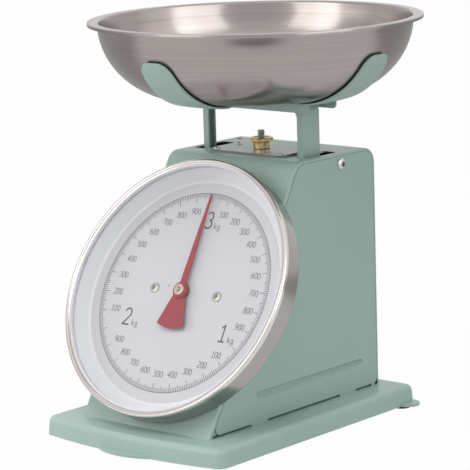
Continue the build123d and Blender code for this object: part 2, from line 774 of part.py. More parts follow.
for side, side_name in ((1, "right"), (-1, "left")):
    with BuildPart() as cradle_rivet:
        with BuildSketch(Plane.XY.offset(cradle_top - 0.2)):
            with Locations((side * rivet_x, axis_y)):
                Circle(rivet_r)
        extrude(amount=-(cradle_t + post_t - 0.2))
        with BuildSketch(Plane.XY.offset(bridge_top - post_t)):
            with Locations((side * rivet_x, axis_y)):
                Circle(rivet_head_r)
        extrude(amount=-1.6)
        fillet(cradle_rivet.faces().sort_by(Axis.Z)[0].edges(), 1.2)
    cradle_rivet.part.label = f"cradle_rivet_{side_name}"
    export_step(cradle_rivet.part, f"parts/cradle_rivet_{side_name}.step")

# Load carriage inside the housing: joins the posts, holds the spring and drives the rack
pin_y, pin_z = slant_point(pin_up, -gear_depth)
lug_x = rack_back + bracket_gap + bracket_t + lug_gap
bar_left = post_lip - post_half + lug_gap
bar_right = post_half - post_t
tongue = left_post_depth - 2 * post_t - lug_gap
with BuildPart() as load_carriage:
    with BuildSketch(Plane.XY.offset(bar_top)):
        with Locations(((bar_left + bar_right) / 2, axis_y)):
            Rectangle(bar_right - bar_left, bar_depth)
        with Locations(((bar_left - bar_right) / 2, axis_y)):
            Rectangle(bar_right + bar_left, tongue)
    extrude(amount=-bar_t)
    with BuildSketch(Plane.XY.offset(bar_top)):
        with Locations(
            ((bar_left + bar_right) / 2, axis_y - (bar_depth - bar_t) / 2),
            ((bar_left + bar_right) / 2, axis_y + (bar_depth - bar_t) / 2),
        ):
            Rectangle(bar_right - bar_left, bar_t)
    extrude(amount=-bar_h)
    with BuildSketch(Plane.XY.offset(bar_top)):
        with Locations((bar_right - bar_t / 2, axis_y)):
            Rectangle(bar_t, bar_depth)
        with Locations((bar_t / 2 - bar_right, axis_y)):
            Rectangle(bar_t, tongue)
    extrude(amount=-(bar_top - post_foot))
    with BuildSketch(Plane.XY.offset(bar_top)):
        with Locations((0, spring_y)):
            Circle(spring_r - wire_r - slide_gap)
    extrude(amount=8)
    with BuildSketch(Plane.YZ.offset(lug_x)):
        with BuildLine():
            Polyline(
                (pin_y - 14, pin_z - 5),
                (pin_y - 14, pin_z + 5),
                (axis_y - bar_depth / 2, bar_top + 3.5),
                (axis_y - bar_depth / 2 + bar_t, bar_top + 3.5),
                (axis_y - bar_depth / 2 + bar_t, bar_top - bar_h),
                (axis_y - bar_depth / 2, bar_top - bar_h),
                close=True,
            )
        make_face()
        with Locations((pin_y - 4.6, pin_z)):
            SlotOverall(15.6, 2 * (pin_r + slide_gap), mode=Mode.SUBTRACT)
    extrude(amount=2)
    with BuildSketch(Plane.XY.offset(bar_top)):
        with Locations((-rod_x, axis_y), (rod_x, axis_y)):
            Circle(rod_r + 1.52)
    extrude(amount=-3, mode=Mode.SUBTRACT)
load_carriage.part.label = "load_carriage"
export_step(load_carriage.part, "parts/load_carriage.step")

for side, side_name in ((1, "right"), (-1, "left")):
    with BuildPart() as rod_bush:
        with BuildSketch(Plane.XY.offset(bar_top)):
            with Locations((side * rod_x, axis_y)):
                Circle(rod_r + 3)
        extrude(amount=1.5)
        with BuildSketch(Plane.XY.offset(bar_top)):
            with Locations((side * rod_x, axis_y)):
                Circle(rod_r + 1.5)
        extrude(amount=-8)
        with BuildSketch(Plane.XY.offset(bar_top + 2)):
            with Locations((side * rod_x, axis_y)):
                Circle(rod_r + slide_gap)
        extrude(amount=-12, mode=Mode.SUBTRACT)
    rod_bush.part.label = f"rod_bush_{side_name}"
    export_step(rod_bush.part, f"parts/rod_bush_{side_name}.step")

    with BuildPart() as guide_rod:
        with BuildSketch(Plane.XY.offset(tray_top)):
            with Locations((side * rod_x, axis_y)):
                Circle(rod_r)
        extrude(amount=inner_top - tray_top)
        with BuildSketch(Plane.XY.offset(tray_top)):
            with Locations((side * rod_x, axis_y)):
                Circle(rod_r + 3)
        extrude(amount=3)
    guide_rod.part.label = f"guide_rod_{side_name}"
    export_step(guide_rod.part, f"parts/guide_rod_{side_name}.step")

# Weighing spring wound between the carriage plug and the plug on the zero stud
spring_len = spring_pitch * spring_turns
with BuildPart() as main_spring:
    with BuildLine(Plane.XY.offset(spring_z).move(Location((0, spring_y, 0)))) as coil:
        Helix(pitch=spring_pitch, height=spring_len, radius=spring_r)
    with BuildSketch(Plane(origin=coil.line @ 0, z_dir=coil.line % 0)):
        Circle(wire_r)
    sweep(path=coil.line, is_frenet=True)
main_spring.part.label = "main_spring"
export_step(main_spring.part, "parts/main_spring.step")
print("gap between coils", round(spring_pitch - 2 * wire_r, 2))

# Zero adjuster: captive knurled nut that raises and lowers the stud
with BuildPart() as zero_stud:
    with BuildSketch(Plane.XY.offset(stud_hold)):
        with Locations((0, spring_y)):
            Circle(stud_r)
    extrude(amount=stud_top - stud_hold)
    chamfer(zero_stud.faces().sort_by(Axis.Z)[-1].edges(), 0.7)
    with BuildSketch(Plane.XY.offset(stud_hold)):
        with Locations((0, spring_y)):
            Circle(spring_r - wire_r - slide_gap)
    extrude(amount=-(stud_hold - spring_z - spring_len + 7))
    with BuildSketch(Plane.XY.offset(stud_hold)):
        with Locations((0, spring_y)):
            Circle(spring_r + 1.5)
    extrude(amount=1.5)
zero_stud.part.label = "zero_stud"
export_step(zero_stud.part, "parts/zero_stud.step")

with BuildPart() as zero_nut:
    with BuildSketch(Plane.XY.offset(plate_top + lift_play)):
        with Locations((0, spring_y)):
            Circle(nut_sleeve_r)
    extrude(amount=nut_sleeve_h)
    with BuildSketch(Plane.XY.offset(plate_top + lift_play + nut_sleeve_h)):
        with Locations((0, spring_y)):
            Circle(nut_flange_r)
    extrude(amount=nut_flange_h)
    chamfer(zero_nut.faces().sort_by(Axis.Z)[-1].edges(), 0.7)
    with BuildSketch(Plane.XY.offset(plate_top)):
        with Locations((0, spring_y)):
            Circle(stud_r + slide_gap)
    extrude(amount=20, mode=Mode.SUBTRACT)
zero_nut.part.label = "zero_nut"
export_step(zero_nut.part, "parts/zero_nut.step")

print("rack travel", round(rack_travel, 3), "load travel", round(load_travel, 3))
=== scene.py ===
"""Finishes, dial print, turned pieces and studio for a spring kitchen scale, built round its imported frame."""

import json
import logging
import math
from dataclasses import dataclass, field
from enum import Enum
from functools import cache
from typing import Iterable, Sequence

import bmesh
import bpy
from bpy.types import Material, Mesh, NodeSocket as Socket, Object as Piece
from mathutils import Matrix, Vector


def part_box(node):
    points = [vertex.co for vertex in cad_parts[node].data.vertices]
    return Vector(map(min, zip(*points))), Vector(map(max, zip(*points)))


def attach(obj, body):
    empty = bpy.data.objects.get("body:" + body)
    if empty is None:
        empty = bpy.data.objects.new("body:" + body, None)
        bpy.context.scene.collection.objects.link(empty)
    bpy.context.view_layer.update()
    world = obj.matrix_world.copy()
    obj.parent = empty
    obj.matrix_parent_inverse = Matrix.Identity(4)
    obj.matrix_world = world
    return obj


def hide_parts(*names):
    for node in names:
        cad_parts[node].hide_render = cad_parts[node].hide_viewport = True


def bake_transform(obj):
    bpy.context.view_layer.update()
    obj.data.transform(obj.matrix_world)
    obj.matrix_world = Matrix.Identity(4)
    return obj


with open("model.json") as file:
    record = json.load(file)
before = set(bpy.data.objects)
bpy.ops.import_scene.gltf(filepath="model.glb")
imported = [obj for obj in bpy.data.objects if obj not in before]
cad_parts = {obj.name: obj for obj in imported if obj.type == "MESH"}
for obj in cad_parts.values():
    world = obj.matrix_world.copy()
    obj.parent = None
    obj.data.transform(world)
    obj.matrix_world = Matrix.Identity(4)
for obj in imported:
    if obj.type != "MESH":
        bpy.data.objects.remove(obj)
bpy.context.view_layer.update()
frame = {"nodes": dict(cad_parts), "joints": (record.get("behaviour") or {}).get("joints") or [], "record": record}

MM = 0.001
LOG = logging.getLogger("kitchen_scale")
# Name of the face note that holds painted shade: how far a face's colour is darkened.
PAINTED_SHADE_NOTE = "painted_shade_share"
WELD = 0.000004
BEND_ANGLE = 28.0
TURNED_ANGLE = 32.0
ON_AXIS = 1e-6
ROUND_STEPS = 256
SAME_SPOT = 1e-9
MITRE_LIMIT = 0.45
NOISE_RANGE = (0.3, 0.7)
LONG_TICK_EVERY = 10.0
MIDDLE_TICK_EVERY = 5.0
EQUAL_WITHIN = 0.1
GRAIN_TURN = 0.25
WHITE_LIGHT = (1.0, 1.0, 1.0, 1.0)

Point = tuple[float, float]
Place = tuple[float, float, float]
Colour = tuple[float, float, float]
PrintedWord = tuple[str, float, float, float, float]


class Slot(Enum):
    """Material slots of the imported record."""

    GREEN = "green_paint"
    BOWL = "bowl_steel"
    BRIGHT = "bright_steel"
    ZINC = "zinc_steel"
    SPRING = "spring_steel"
    BRASS = "brass"
    WHITE = "dial_white"
    RED = "pointer_red"
    LENS = "lens_clear"
    RUBBER = "rubber_black"
    ACETAL = "guide_plastic"


class Grain(Enum):
    """How the brush marks of a metal run."""

    ROUND = "round the piece"
    PLAIN = "no direction"


class NodeBench:
    """A node tree, with short calls that add and join nodes."""

    tree: bpy.types.NodeTree

    def add(
        self, kind: str, values: dict[str | int, object] | None = None, **settings: object
    ) -> bpy.types.Node:
        """Adds a node.

        Args:
            kind: Blender's name of the node type.
            values: Input names and what they are set to or linked from.
            **settings: The node's own properties.

        Returns:
            The new node.
        """
        node = self.tree.nodes.new(kind)
        for name, value in settings.items():
            setattr(node, name, value)
        for name, value in (values or {}).items():
            if isinstance(value, Socket):
                self.tree.links.new(value, node.inputs[name])
            else:
                node.inputs[name].default_value = value
        return node

    def math(self, operation: str, first: object, second: object = 0.0) -> Socket:
        """Returns the result of a math node on two values or sockets."""
        return self.add("ShaderNodeMath", {0: first, 1: second}, operation=operation).outputs[0]

    def vector(self, x: object = 0.0, y: object = 0.0, z: object = 0.0) -> Socket:
        """Returns a vector made of three values or sockets."""
        return self.add("ShaderNodeCombineXYZ", {"X": x, "Y": y, "Z": z}).outputs[0]


class ShaderBench(NodeBench):
    """The node tree of one material or world."""

    def __init__(self, name: str) -> None:
        """Starts an empty material.

        Args:
            name: The material's name.
        """
        self.material = bpy.data.materials.new(name)
        self.material.use_nodes = True
        self.tree = self.material.node_tree
        self.tree.nodes.clear()
        self.output = self.tree.nodes.new("ShaderNodeOutputMaterial")

    @classmethod
    def around(cls, world: bpy.types.World) -> "ShaderBench":
        """Empties a world's node tree.

        Args:
            world: The world, which uses nodes.

        Returns:
            A bench on its tree.
        """
        bench = cls.__new__(cls)
        bench.tree = world.node_tree
        bench.tree.nodes.clear()
        bench.output = bench.tree.nodes.new("ShaderNodeOutputWorld")
        return bench

    def ramp(self, value: Socket, span: Point, levels: Point, curve: str = "SMOOTHSTEP") -> Socket:
        """Maps a value from one range to another.

        Args:
            value: What is mapped.
            span: Where it leaves the first level and where it reaches the second.
            levels: The two levels.
            curve: How it goes from one to the other.

        Returns:
            The mapped value.
        """
        given = dict(zip(("From Min", "From Max", "To Min", "To Max"), (*span, *levels)))
        node = self.add("ShaderNodeMapRange", {"Value": value, **given}, interpolation_type=curve)
        return node.outputs["Result"]

    def vector_math(self, operation: str, first: Socket, second: Vector) -> Socket:
        """Returns the number that a vector math node makes of a socket and a vector."""
        return self.add("ShaderNodeVectorMath", {0: first, 1: second}, operation=operation).outputs["Value"]

    def mirror_rays(self) -> tuple[Socket, Socket]:
        """Returns whether the camera sees a point, and whether metal or glass shows it."""
        path = self.add("ShaderNodeLightPath").outputs
        return path["Is Camera Ray"], self.math("MAXIMUM", path["Is Glossy Ray"], path["Is Transmission Ray"])

    def coords(self) -> Socket:
        """Returns the piece's own coordinates, in metres."""
        return self.add("ShaderNodeTexCoord").outputs["Object"]

    def noise(self, vector: Socket, scale: float, detail: float = 3.0) -> Socket:
        """Returns a noise value between 0 and 1 with that many features to the metre."""
        node = self.add("ShaderNodeTexNoise", {"Vector": vector, "Scale": scale, "Detail": detail})
        return node.outputs["Fac"]

    def spread(self, value: Socket, low: float, high: float) -> Socket:
        """Returns a noise value mapped from its usual middle range to low and high."""
        return self.ramp(value, NOISE_RANGE, (low, high), "LINEAR")

    def blend(self, factor: Socket, first: Colour | Socket, second: Colour) -> Socket:
        """Blends two colours.

        Args:
            factor: How far the blend is from the first to the second.
            first: The colour at zero.
            second: The colour at one.

        Returns:
            The blended colour.
        """
        node = self.add("ShaderNodeMix", {"Factor": factor}, data_type="RGBA")
        colours = [socket for socket in node.inputs if socket.type == "RGBA"]
        for given, socket in zip((first, second), colours):
            if isinstance(given, Socket):
                self.tree.links.new(given, socket)
            else:
                socket.default_value = (*given, 1.0)
        return next(socket for socket in node.outputs if socket.type == "RGBA")

    def painted_shade_share(self) -> Socket:
        """Returns the share of painted shade noted on a face, which is zero on meshes without that note."""
        return self.add("ShaderNodeAttribute", attribute_name=PAINTED_SHADE_NOTE).outputs["Fac"]

    def bump(self, height: Socket, strength: float, distance: float) -> Socket:
        """Returns a normal bent by the height, whose full range is that distance in metres."""
        given = {"Height": height, "Strength": strength, "Distance": distance}
        return self.add("ShaderNodeBump", given).outputs[0]

    def mix(self, share: Socket, first: Socket, second: Socket) -> Socket:
        """Returns a shader that takes this share of the second one, and the rest of the first."""
        return self.add("ShaderNodeMixShader", {0: share, 1: first, 2: second}).outputs[0]

    def principled(self, values: dict[str, object]) -> Socket:
        """Returns a principled shader with these inputs."""
        return self.add("ShaderNodeBsdfPrincipled", values).outputs[0]

    def finish(self, shader: Socket) -> Material:
        """Joins the shader to the output and returns the material."""
        self.tree.links.new(shader, self.output.inputs["Surface"])
        return self.material


def shade(colour: Colour, factor: float) -> Colour:
    """Returns the colour made lighter or darker by a factor."""
    return tuple(min(1.0, part * factor) for part in colour)


def drifted(bench: ShaderBench, clouds: Socket, colour: Colour, drift: float) -> Socket:
    """Returns a colour that strays by a share of itself to both sides with the clouds."""
    return bench.blend(clouds, shade(colour, 1 - drift), shade(colour, 1 + drift))


@dataclass(frozen=True)
class EnamelFinish:
    """Sprayed and baked paint with a faint orange peel."""

    name: str
    colour: Colour
    roughness: float = 0.36
    coat: float = 0.25
    peel_scale: float = 420.0
    peel_depth: float = 0.00006
    drift: float = 0.035
    # How dark a fully shaded face is painted, as a share of the paint's colour.
    painted_shade_factor: float = 0.08
    cloud_scale: float = 18.0
    gloss_scale: float = 60.0
    gloss_drift: float = 0.04
    coat_roughness: float = 0.22
    peel_strength: float = 0.35
    peel_detail: float = 2.0

    def material(self) -> Material:
        """Mixes the paint.

        Returns:
            The paint as a material.
        """
        bench = ShaderBench(self.name)
        place = bench.coords()
        peel = bench.noise(place, self.peel_scale, self.peel_detail)
        gloss = bench.noise(place, self.gloss_scale)
        colour = drifted(bench, bench.noise(place, self.cloud_scale), self.colour, self.drift)
        # Painted shade: noted faces are blended towards the dark tone of the paint.
        colour = bench.blend(bench.painted_shade_share(), colour, shade(self.colour, self.painted_shade_factor))
        smoothest, roughest = self.roughness - self.gloss_drift, self.roughness + self.gloss_drift
        values = {
            "Base Color": colour,
            "Roughness": bench.spread(gloss, smoothest, roughest),
            "Coat Weight": self.coat,
            "Coat Roughness": self.coat_roughness,
            "Normal": bench.bump(peel, self.peel_strength, self.peel_depth),
        }
        return bench.finish(bench.principled(values))


@dataclass(frozen=True)
class MetalFinish:
    """Bare or plated metal with fine marks from its making."""

    name: str
    colour: Colour
    roughness: float
    grain: Grain = Grain.PLAIN
    grain_scale: float = 2600.0
    grain_depth: float = 0.00001
    grain_across: float = 14.0
    grain_detail: float = 4.0
    streak: float = 0.25
    anisotropy: float = 0.0
    stain: float = 0.06
    stain_scale: float = 30.0
    # How dark the painted shade in a noted recess makes the metal, as a share of its colour.
    painted_recess_factor: float = 0.1
    gloss_drift: float = 0.25
    grain_strength: float = 0.25

    def material(self) -> Material:
        """Brushes or plates the metal.

        Returns:
            The metal as a material.
        """
        bench = ShaderBench(self.name)
        place = bench.coords()
        values: dict[str, object] = {"Metallic": 1.0}
        if self.grain is Grain.ROUND:
            along = bench.add("ShaderNodeSeparateXYZ", {"Vector": bench.add("ShaderNodeUVMap").outputs["UV"]})
            across = bench.add("ShaderNodeSeparateXYZ", {"Vector": place})
            stretched = bench.vector(
                bench.math("MULTIPLY", across.outputs["X"], self.grain_across),
                bench.math("MULTIPLY", across.outputs["Y"], self.grain_across),
                bench.math("MULTIPLY", along.outputs["Y"], self.grain_scale),
            )
            marks = bench.noise(stretched, 1.0, self.grain_detail)
            stains = bench.noise(stretched, self.streak)
            values["Tangent"] = bench.add("ShaderNodeTangent", direction_type="UV_MAP").outputs[0]
            values["Anisotropic"] = self.anisotropy
            values["Anisotropic Rotation"] = GRAIN_TURN
        else:
            marks = bench.noise(place, self.grain_scale, self.grain_detail)
            stains = bench.noise(place, self.stain_scale)
        colour = drifted(bench, stains, self.colour, self.stain)
        smoothest, roughest = self.roughness * (1 - self.gloss_drift), self.roughness * (1 + self.gloss_drift)
        # Painted shade: noted faces, such as screw recesses, are blended towards the dark tone.
        values["Base Color"] = bench.blend(bench.painted_shade_share(), colour, shade(self.colour, self.painted_recess_factor))
        values["Roughness"] = bench.spread(marks, smoothest, roughest)
        values["Normal"] = bench.bump(marks, self.grain_strength, self.grain_depth)
        return bench.finish(bench.principled(values))


@dataclass(frozen=True)
class MouldedFinish:
    """Matt print, moulded plastic or rubber with a fine even texture."""

    name: str
    colour: Colour
    roughness: float
    texture_scale: float = 900.0
    texture_depth: float = 0.00003
    texture_strength: float = 0.3
    drift: float = 0.05
    drift_scale: float = 40.0
    gloss_drift: float = 0.05

    def material(self) -> Material:
        """Mixes the plastic, ink or rubber.

        Returns:
            What was mixed, as a material.
        """
        bench = ShaderBench(self.name)
        place = bench.coords()
        texture = bench.noise(place, self.texture_scale)
        smoothest, roughest = self.roughness - self.gloss_drift, self.roughness + self.gloss_drift
        values = {
            "Base Color": drifted(bench, bench.noise(place, self.drift_scale), self.colour, self.drift),
            "Roughness": bench.spread(texture, smoothest, roughest),
            "Normal": bench.bump(texture, self.texture_strength, self.texture_depth),
        }
        return bench.finish(bench.principled(values))


@dataclass(frozen=True)
class GlassFinish:
    """Clear flat glass that lets the lamps through to the dial."""

    name: str
    tint: Colour = (0.97, 0.985, 0.985)
    index: float = 1.45

    def material(self) -> Material:
        """Pours the glass.

        Returns:
            The glass as a material.
        """
        bench = ShaderBench(self.name)
        tint = (*self.tint, 1.0)
        values = {"Base Color": tint, "Roughness": 0.0, "IOR": self.index, "Transmission Weight": 1.0}
        glass = bench.principled(values)
        clear = bench.add("ShaderNodeBsdfTransparent", {"Color": tint}).outputs[0]
        path = bench.add("ShaderNodeLightPath").outputs
        lighting = bench.math("MAXIMUM", path["Is Shadow Ray"], path["Is Diffuse Ray"])
        return bench.finish(bench.mix(lighting, glass, clear))


class Trim(Enum):
    """Finishes that differ from those of the record's slots: inks, and single pieces."""

    DARK_INK = "dial_ink_dark"
    GREY_INK = "dial_ink_grey"
    CARD = "dial_card"
    GASKET = "glass_gasket"
    BEZEL = "bezel_steel"
    NICKEL = "dial_screw_nickel"
    CAP = "cap_brass"
    PLATE = "plate_paint"


FINE_PEEL = {"peel_scale": 900.0, "peel_depth": 0.00002}
FINISHES = {
    Slot.GREEN: EnamelFinish("sage_enamel", (0.34, 0.465, 0.425)),
    Slot.BOWL: MetalFinish(
        "brushed_bowl_steel",
        (0.41, 0.365, 0.35),
        0.2,
        Grain.ROUND,
        grain_depth=0.000004,
        anisotropy=0.4,
        stain=0.16,
    ),
    Slot.BRIGHT: MetalFinish(
        "polished_drum_steel",
        (0.43, 0.405, 0.395),
        0.2,
        Grain.ROUND,
        grain_scale=1800.0,
        grain_depth=0.000003,
        anisotropy=0.3,
    ),
    Slot.ZINC: MetalFinish("zinc_plate", (0.62, 0.62, 0.60), 0.28),
    Slot.SPRING: MetalFinish("oiled_spring_steel", (0.30, 0.30, 0.31), 0.35),
    Slot.BRASS: MetalFinish("turned_brass", (0.68, 0.51, 0.27), 0.24),
    # The dish's white is paler than the card's: painted light on its sloping wall, which lies in shade.
    Slot.WHITE: EnamelFinish("dial_white_enamel", (0.78, 0.76, 0.80), 0.5, 0.0, **FINE_PEEL, drift=0.01),
    Slot.RED: EnamelFinish("pointer_red_enamel", (0.325, 0.018, 0.03), 0.45, 0.05, **FINE_PEEL, drift=0.05),
    Slot.LENS: GlassFinish("clear_dial_glass"),
    Slot.RUBBER: MouldedFinish("black_foot_rubber", (0.03, 0.03, 0.03), 0.75),
    Slot.ACETAL: MouldedFinish("natural_acetal", (0.72, 0.70, 0.66), 0.45),
    Trim.DARK_INK: MouldedFinish("dial_ink_dark", (0.035, 0.035, 0.04), 0.6),
    Trim.GREY_INK: MouldedFinish("dial_ink_grey", (0.085, 0.085, 0.095), 0.6),
    Trim.CARD: EnamelFinish("dial_card", (0.625, 0.595, 0.64), 0.55, 0.0, **FINE_PEEL, drift=0.01),
    Trim.GASKET: MouldedFinish("glass_gasket", (0.74, 0.72, 0.75), 0.5),
    Trim.BEZEL: MetalFinish("bright_bezel_steel", (0.74, 0.70, 0.68), 0.12, stain=0.03),
    Trim.NICKEL: MetalFinish("dull_screw_nickel", (0.6, 0.585, 0.555), 0.42),
    Trim.CAP: MetalFinish("pale_cap_brass", (0.80, 0.62, 0.47), 0.45),
    Trim.PLATE: EnamelFinish("grey_plate_paint", (0.325, 0.36, 0.345), 0.3),
}


@cache
def paint(choice: Slot | Trim) -> Material:
    """Returns the material of a slot or a trim, which is made once."""
    return FINISHES[choice].material()


def add_piece(
    mesh: Mesh,
    name: str,
    body: str | None,
    slot: Slot,
    replaced: Iterable[str] = (),
    trim: Trim | None = None,
) -> Piece:
    """Puts a finished mesh into the scene.

    Args:
        mesh: The mesh, in the row frame.
        name: The piece's name.
        body: The body it moves with, or None for a piece that rides on no body.
        slot: The record's slot it takes its finish from.
        replaced: CAD nodes that it stands for.
        trim: A finish other than the slot's own, or None.

    Returns:
        The new object.
    """
    mesh.materials.clear()
    mesh.materials.append(paint(trim or slot))
    mesh.name = name
    piece = bpy.data.objects.new(name, mesh)
    bpy.context.scene.collection.objects.link(piece)
    nodes = tuple(replaced)
    if nodes:
        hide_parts(*nodes)
    if body:
        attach(piece, body)
        LOG.info("%s rides on %s, %d faces", name, body, len(mesh.polygons))
    return piece


def to_mesh(work: bmesh.types.BMesh, name: str, outward: bool = False) -> Mesh:
    """Turns mesh work into a mesh and frees it.

    Args:
        work: What was built.
        name: The mesh's name.
        outward: Whether its faces still have to be turned outwards.

    Returns:
        The new mesh.
    """
    if outward:
        bmesh.ops.recalc_face_normals(work, faces=work.faces[:])
    mesh = bpy.data.meshes.new(name)
    work.to_mesh(mesh)
    work.free()
    return mesh


def plain_mesh(carrier: Piece) -> Mesh:
    """Applies an object's modifiers, and removes the object.

    Args:
        carrier: The object.

    Returns:
        The mesh that its modifiers make.
    """
    graph = bpy.context.evaluated_depsgraph_get()
    made = bpy.data.meshes.new_from_object(carrier.evaluated_get(graph), depsgraph=graph)
    carrier.modifiers.clear()
    bpy.data.objects.remove(carrier)
    return made


def note_painted_shade(mesh: Mesh, tones: Sequence[float]) -> None:
    """Notes on each face of a mesh how much painted shade its colour takes."""
    mesh.attributes.new(PAINTED_SHADE_NOTE, "FLOAT", "FACE").data.foreach_set("value", tones)


def smooth(mesh: Mesh, angle: float = TURNED_ANGLE) -> Mesh:
    """Shades a mesh smooth except at its sharp edges.

    Args:
        mesh: The mesh.
        angle: The angle in degrees from which an edge is sharp.

    Returns:
        The same mesh.
    """
    mesh.polygons.foreach_set("use_smooth", [True] * len(mesh.polygons))
    mesh.set_sharp_from_angle(angle=math.radians(angle))
    mesh.update()
    return mesh


def smooth_copy(node: str) -> Mesh:
    """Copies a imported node's mesh.

    Args:
        node: The node's name.

    Returns:
        The copy, with its loose triangles merged and its bends shaded smooth.
    """
    work = bmesh.new()
    work.from_mesh(frame["nodes"][node].data)
    bmesh.ops.remove_doubles(work, verts=work.verts[:], dist=WELD)
    copy = to_mesh(work, node)
    if copy.has_custom_normals:
        copy.attributes.remove(copy.attributes["custom_normal"])
    return smooth(copy, BEND_ANGLE)


def arc(centre: Point, radii: Point, start: float, end: float, steps: int) -> list[Point]:
    """Returns the points of an elliptical arc from one angle in degrees to another, both ends included."""
    angles = [math.radians(start + (end - start) * k / steps) for k in range(steps + 1)]
    return [(centre[0] + radii[0] * math.cos(a), centre[1] + radii[1] * math.sin(a)) for a in angles]


def lathe(profile: Sequence[Point], place: Matrix, segments: int = 192) -> Mesh:
    """Turns a closed profile round the local Z axis into a mesh.

    Args:
        profile: Radius and height of each point in millimetres, anticlockwise, the first one not repeated.
            Points on the axis become one vertex.
        place: Where the local frame lies in the row frame.
        segments: Steps round the axis.

    Returns:
        A closed mesh with a UV map: U goes round, V along the profile in metres.
    """
    work = bmesh.new()
    uv_layer = work.loops.layers.uv.new("turned")
    rings: list[list[bmesh.types.BMVert]] = []
    lengths = [0.0]
    for k, (radius, height) in enumerate(profile):
        if k:
            lengths.append(lengths[-1] + math.dist(profile[k - 1], profile[k]) * MM)
        if radius < ON_AXIS:
            rings.append([work.verts.new((0.0, 0.0, height * MM))] * segments)
            continue
        turns = [math.tau * step / segments for step in range(segments)]
        spots = [(radius * MM * math.cos(turn), radius * MM * math.sin(turn), height * MM) for turn in turns]
        rings.append([work.verts.new(spot) for spot in spots])
    lengths.append(lengths[-1] + math.dist(profile[-1], profile[0]) * MM)
    for k, ring in enumerate(rings):
        after = rings[(k + 1) % len(rings)]
        if len(set(ring)) == 1 and len(set(after)) == 1:
            continue
        for step in range(segments):
            nxt = (step + 1) % segments
            corners = [(ring[step], step, k), (ring[nxt], step + 1, k)]
            corners += [(after[nxt], step + 1, k + 1), (after[step], step, k + 1)]
            kept = [c for j, c in enumerate(corners) if c[0] is not corners[j - 1][0]]
            face = work.faces.new([c[0] for c in kept])
            for loop, (_, turn, row) in zip(face.loops, kept):
                loop[uv_layer].uv = (turn / segments, lengths[row])
    mesh = to_mesh(work, "turned", outward=True)
    mesh.transform(place)
    return smooth(mesh)


class NodeTool(NodeBench):
    """A geometry node tree with named inputs, ending in realised and painted geometry."""

    def __init__(self, name: str, inputs: Sequence[tuple[str, str]]) -> None:
        """Starts a tree.

        Args:
            name: The tree's name.
            inputs: Names and socket types of its inputs.
        """
        self.tree = bpy.data.node_groups.new(name, "GeometryNodeTree")
        for label, kind in inputs:
            self.tree.interface.new_socket(label, in_out="INPUT", socket_type=kind)
        self.tree.interface.new_socket("Material", in_out="INPUT", socket_type="NodeSocketMaterial")
        self.tree.interface.new_socket("Geometry", in_out="OUTPUT", socket_type="NodeSocketGeometry")
        self.given = self.tree.nodes.new("NodeGroupInput").outputs
        self.result = self.tree.nodes.new("NodeGroupOutput").inputs["Geometry"]

    def is_multiple(self, index: Socket, step: float) -> Socket:
        """Returns one where the index is a multiple of the step, else zero."""
        given = {0: self.math("MODULO", index, step), 1: 0.0, 2: EQUAL_WITHIN}
        return self.add("ShaderNodeMath", given, operation="COMPARE").outputs[0]

    def close(self, instances: Socket) -> None:
        """Ends the tree by realising the instances and painting them.

        Args:
            instances: What the tree has made.
        """
        real = self.add("GeometryNodeRealizeInstances", {0: instances}).outputs[0]
        paint = self.add("GeometryNodeSetMaterial", {"Geometry": real, "Material": self.given["Material"]})
        self.tree.links.new(paint.outputs[0], self.result)

    def mesh(self, values: dict[str, object]) -> Mesh:
        """Runs the tree with these inputs.

        Args:
            values: Input names and what they are set to.

        Returns:
            The result as a plain mesh, in the tree's own frame.
        """
        carrier = bpy.data.objects.new(self.tree.name, bpy.data.meshes.new(self.tree.name))
        bpy.context.scene.collection.objects.link(carrier)
        modifier = carrier.modifiers.new("nodes", "NODES")
        modifier.node_group = self.tree
        for socket in self.tree.interface.items_tree:
            if socket.in_out == "INPUT" and socket.name in values:
                modifier[socket.identifier] = values[socket.name]
        return plain_mesh(carrier)


class Blocks(Enum):
    """What a ring is made of."""

    TICKS = "marks in three lengths that point inwards"
    RIDGES = "equal upright ridges with an edge outwards"


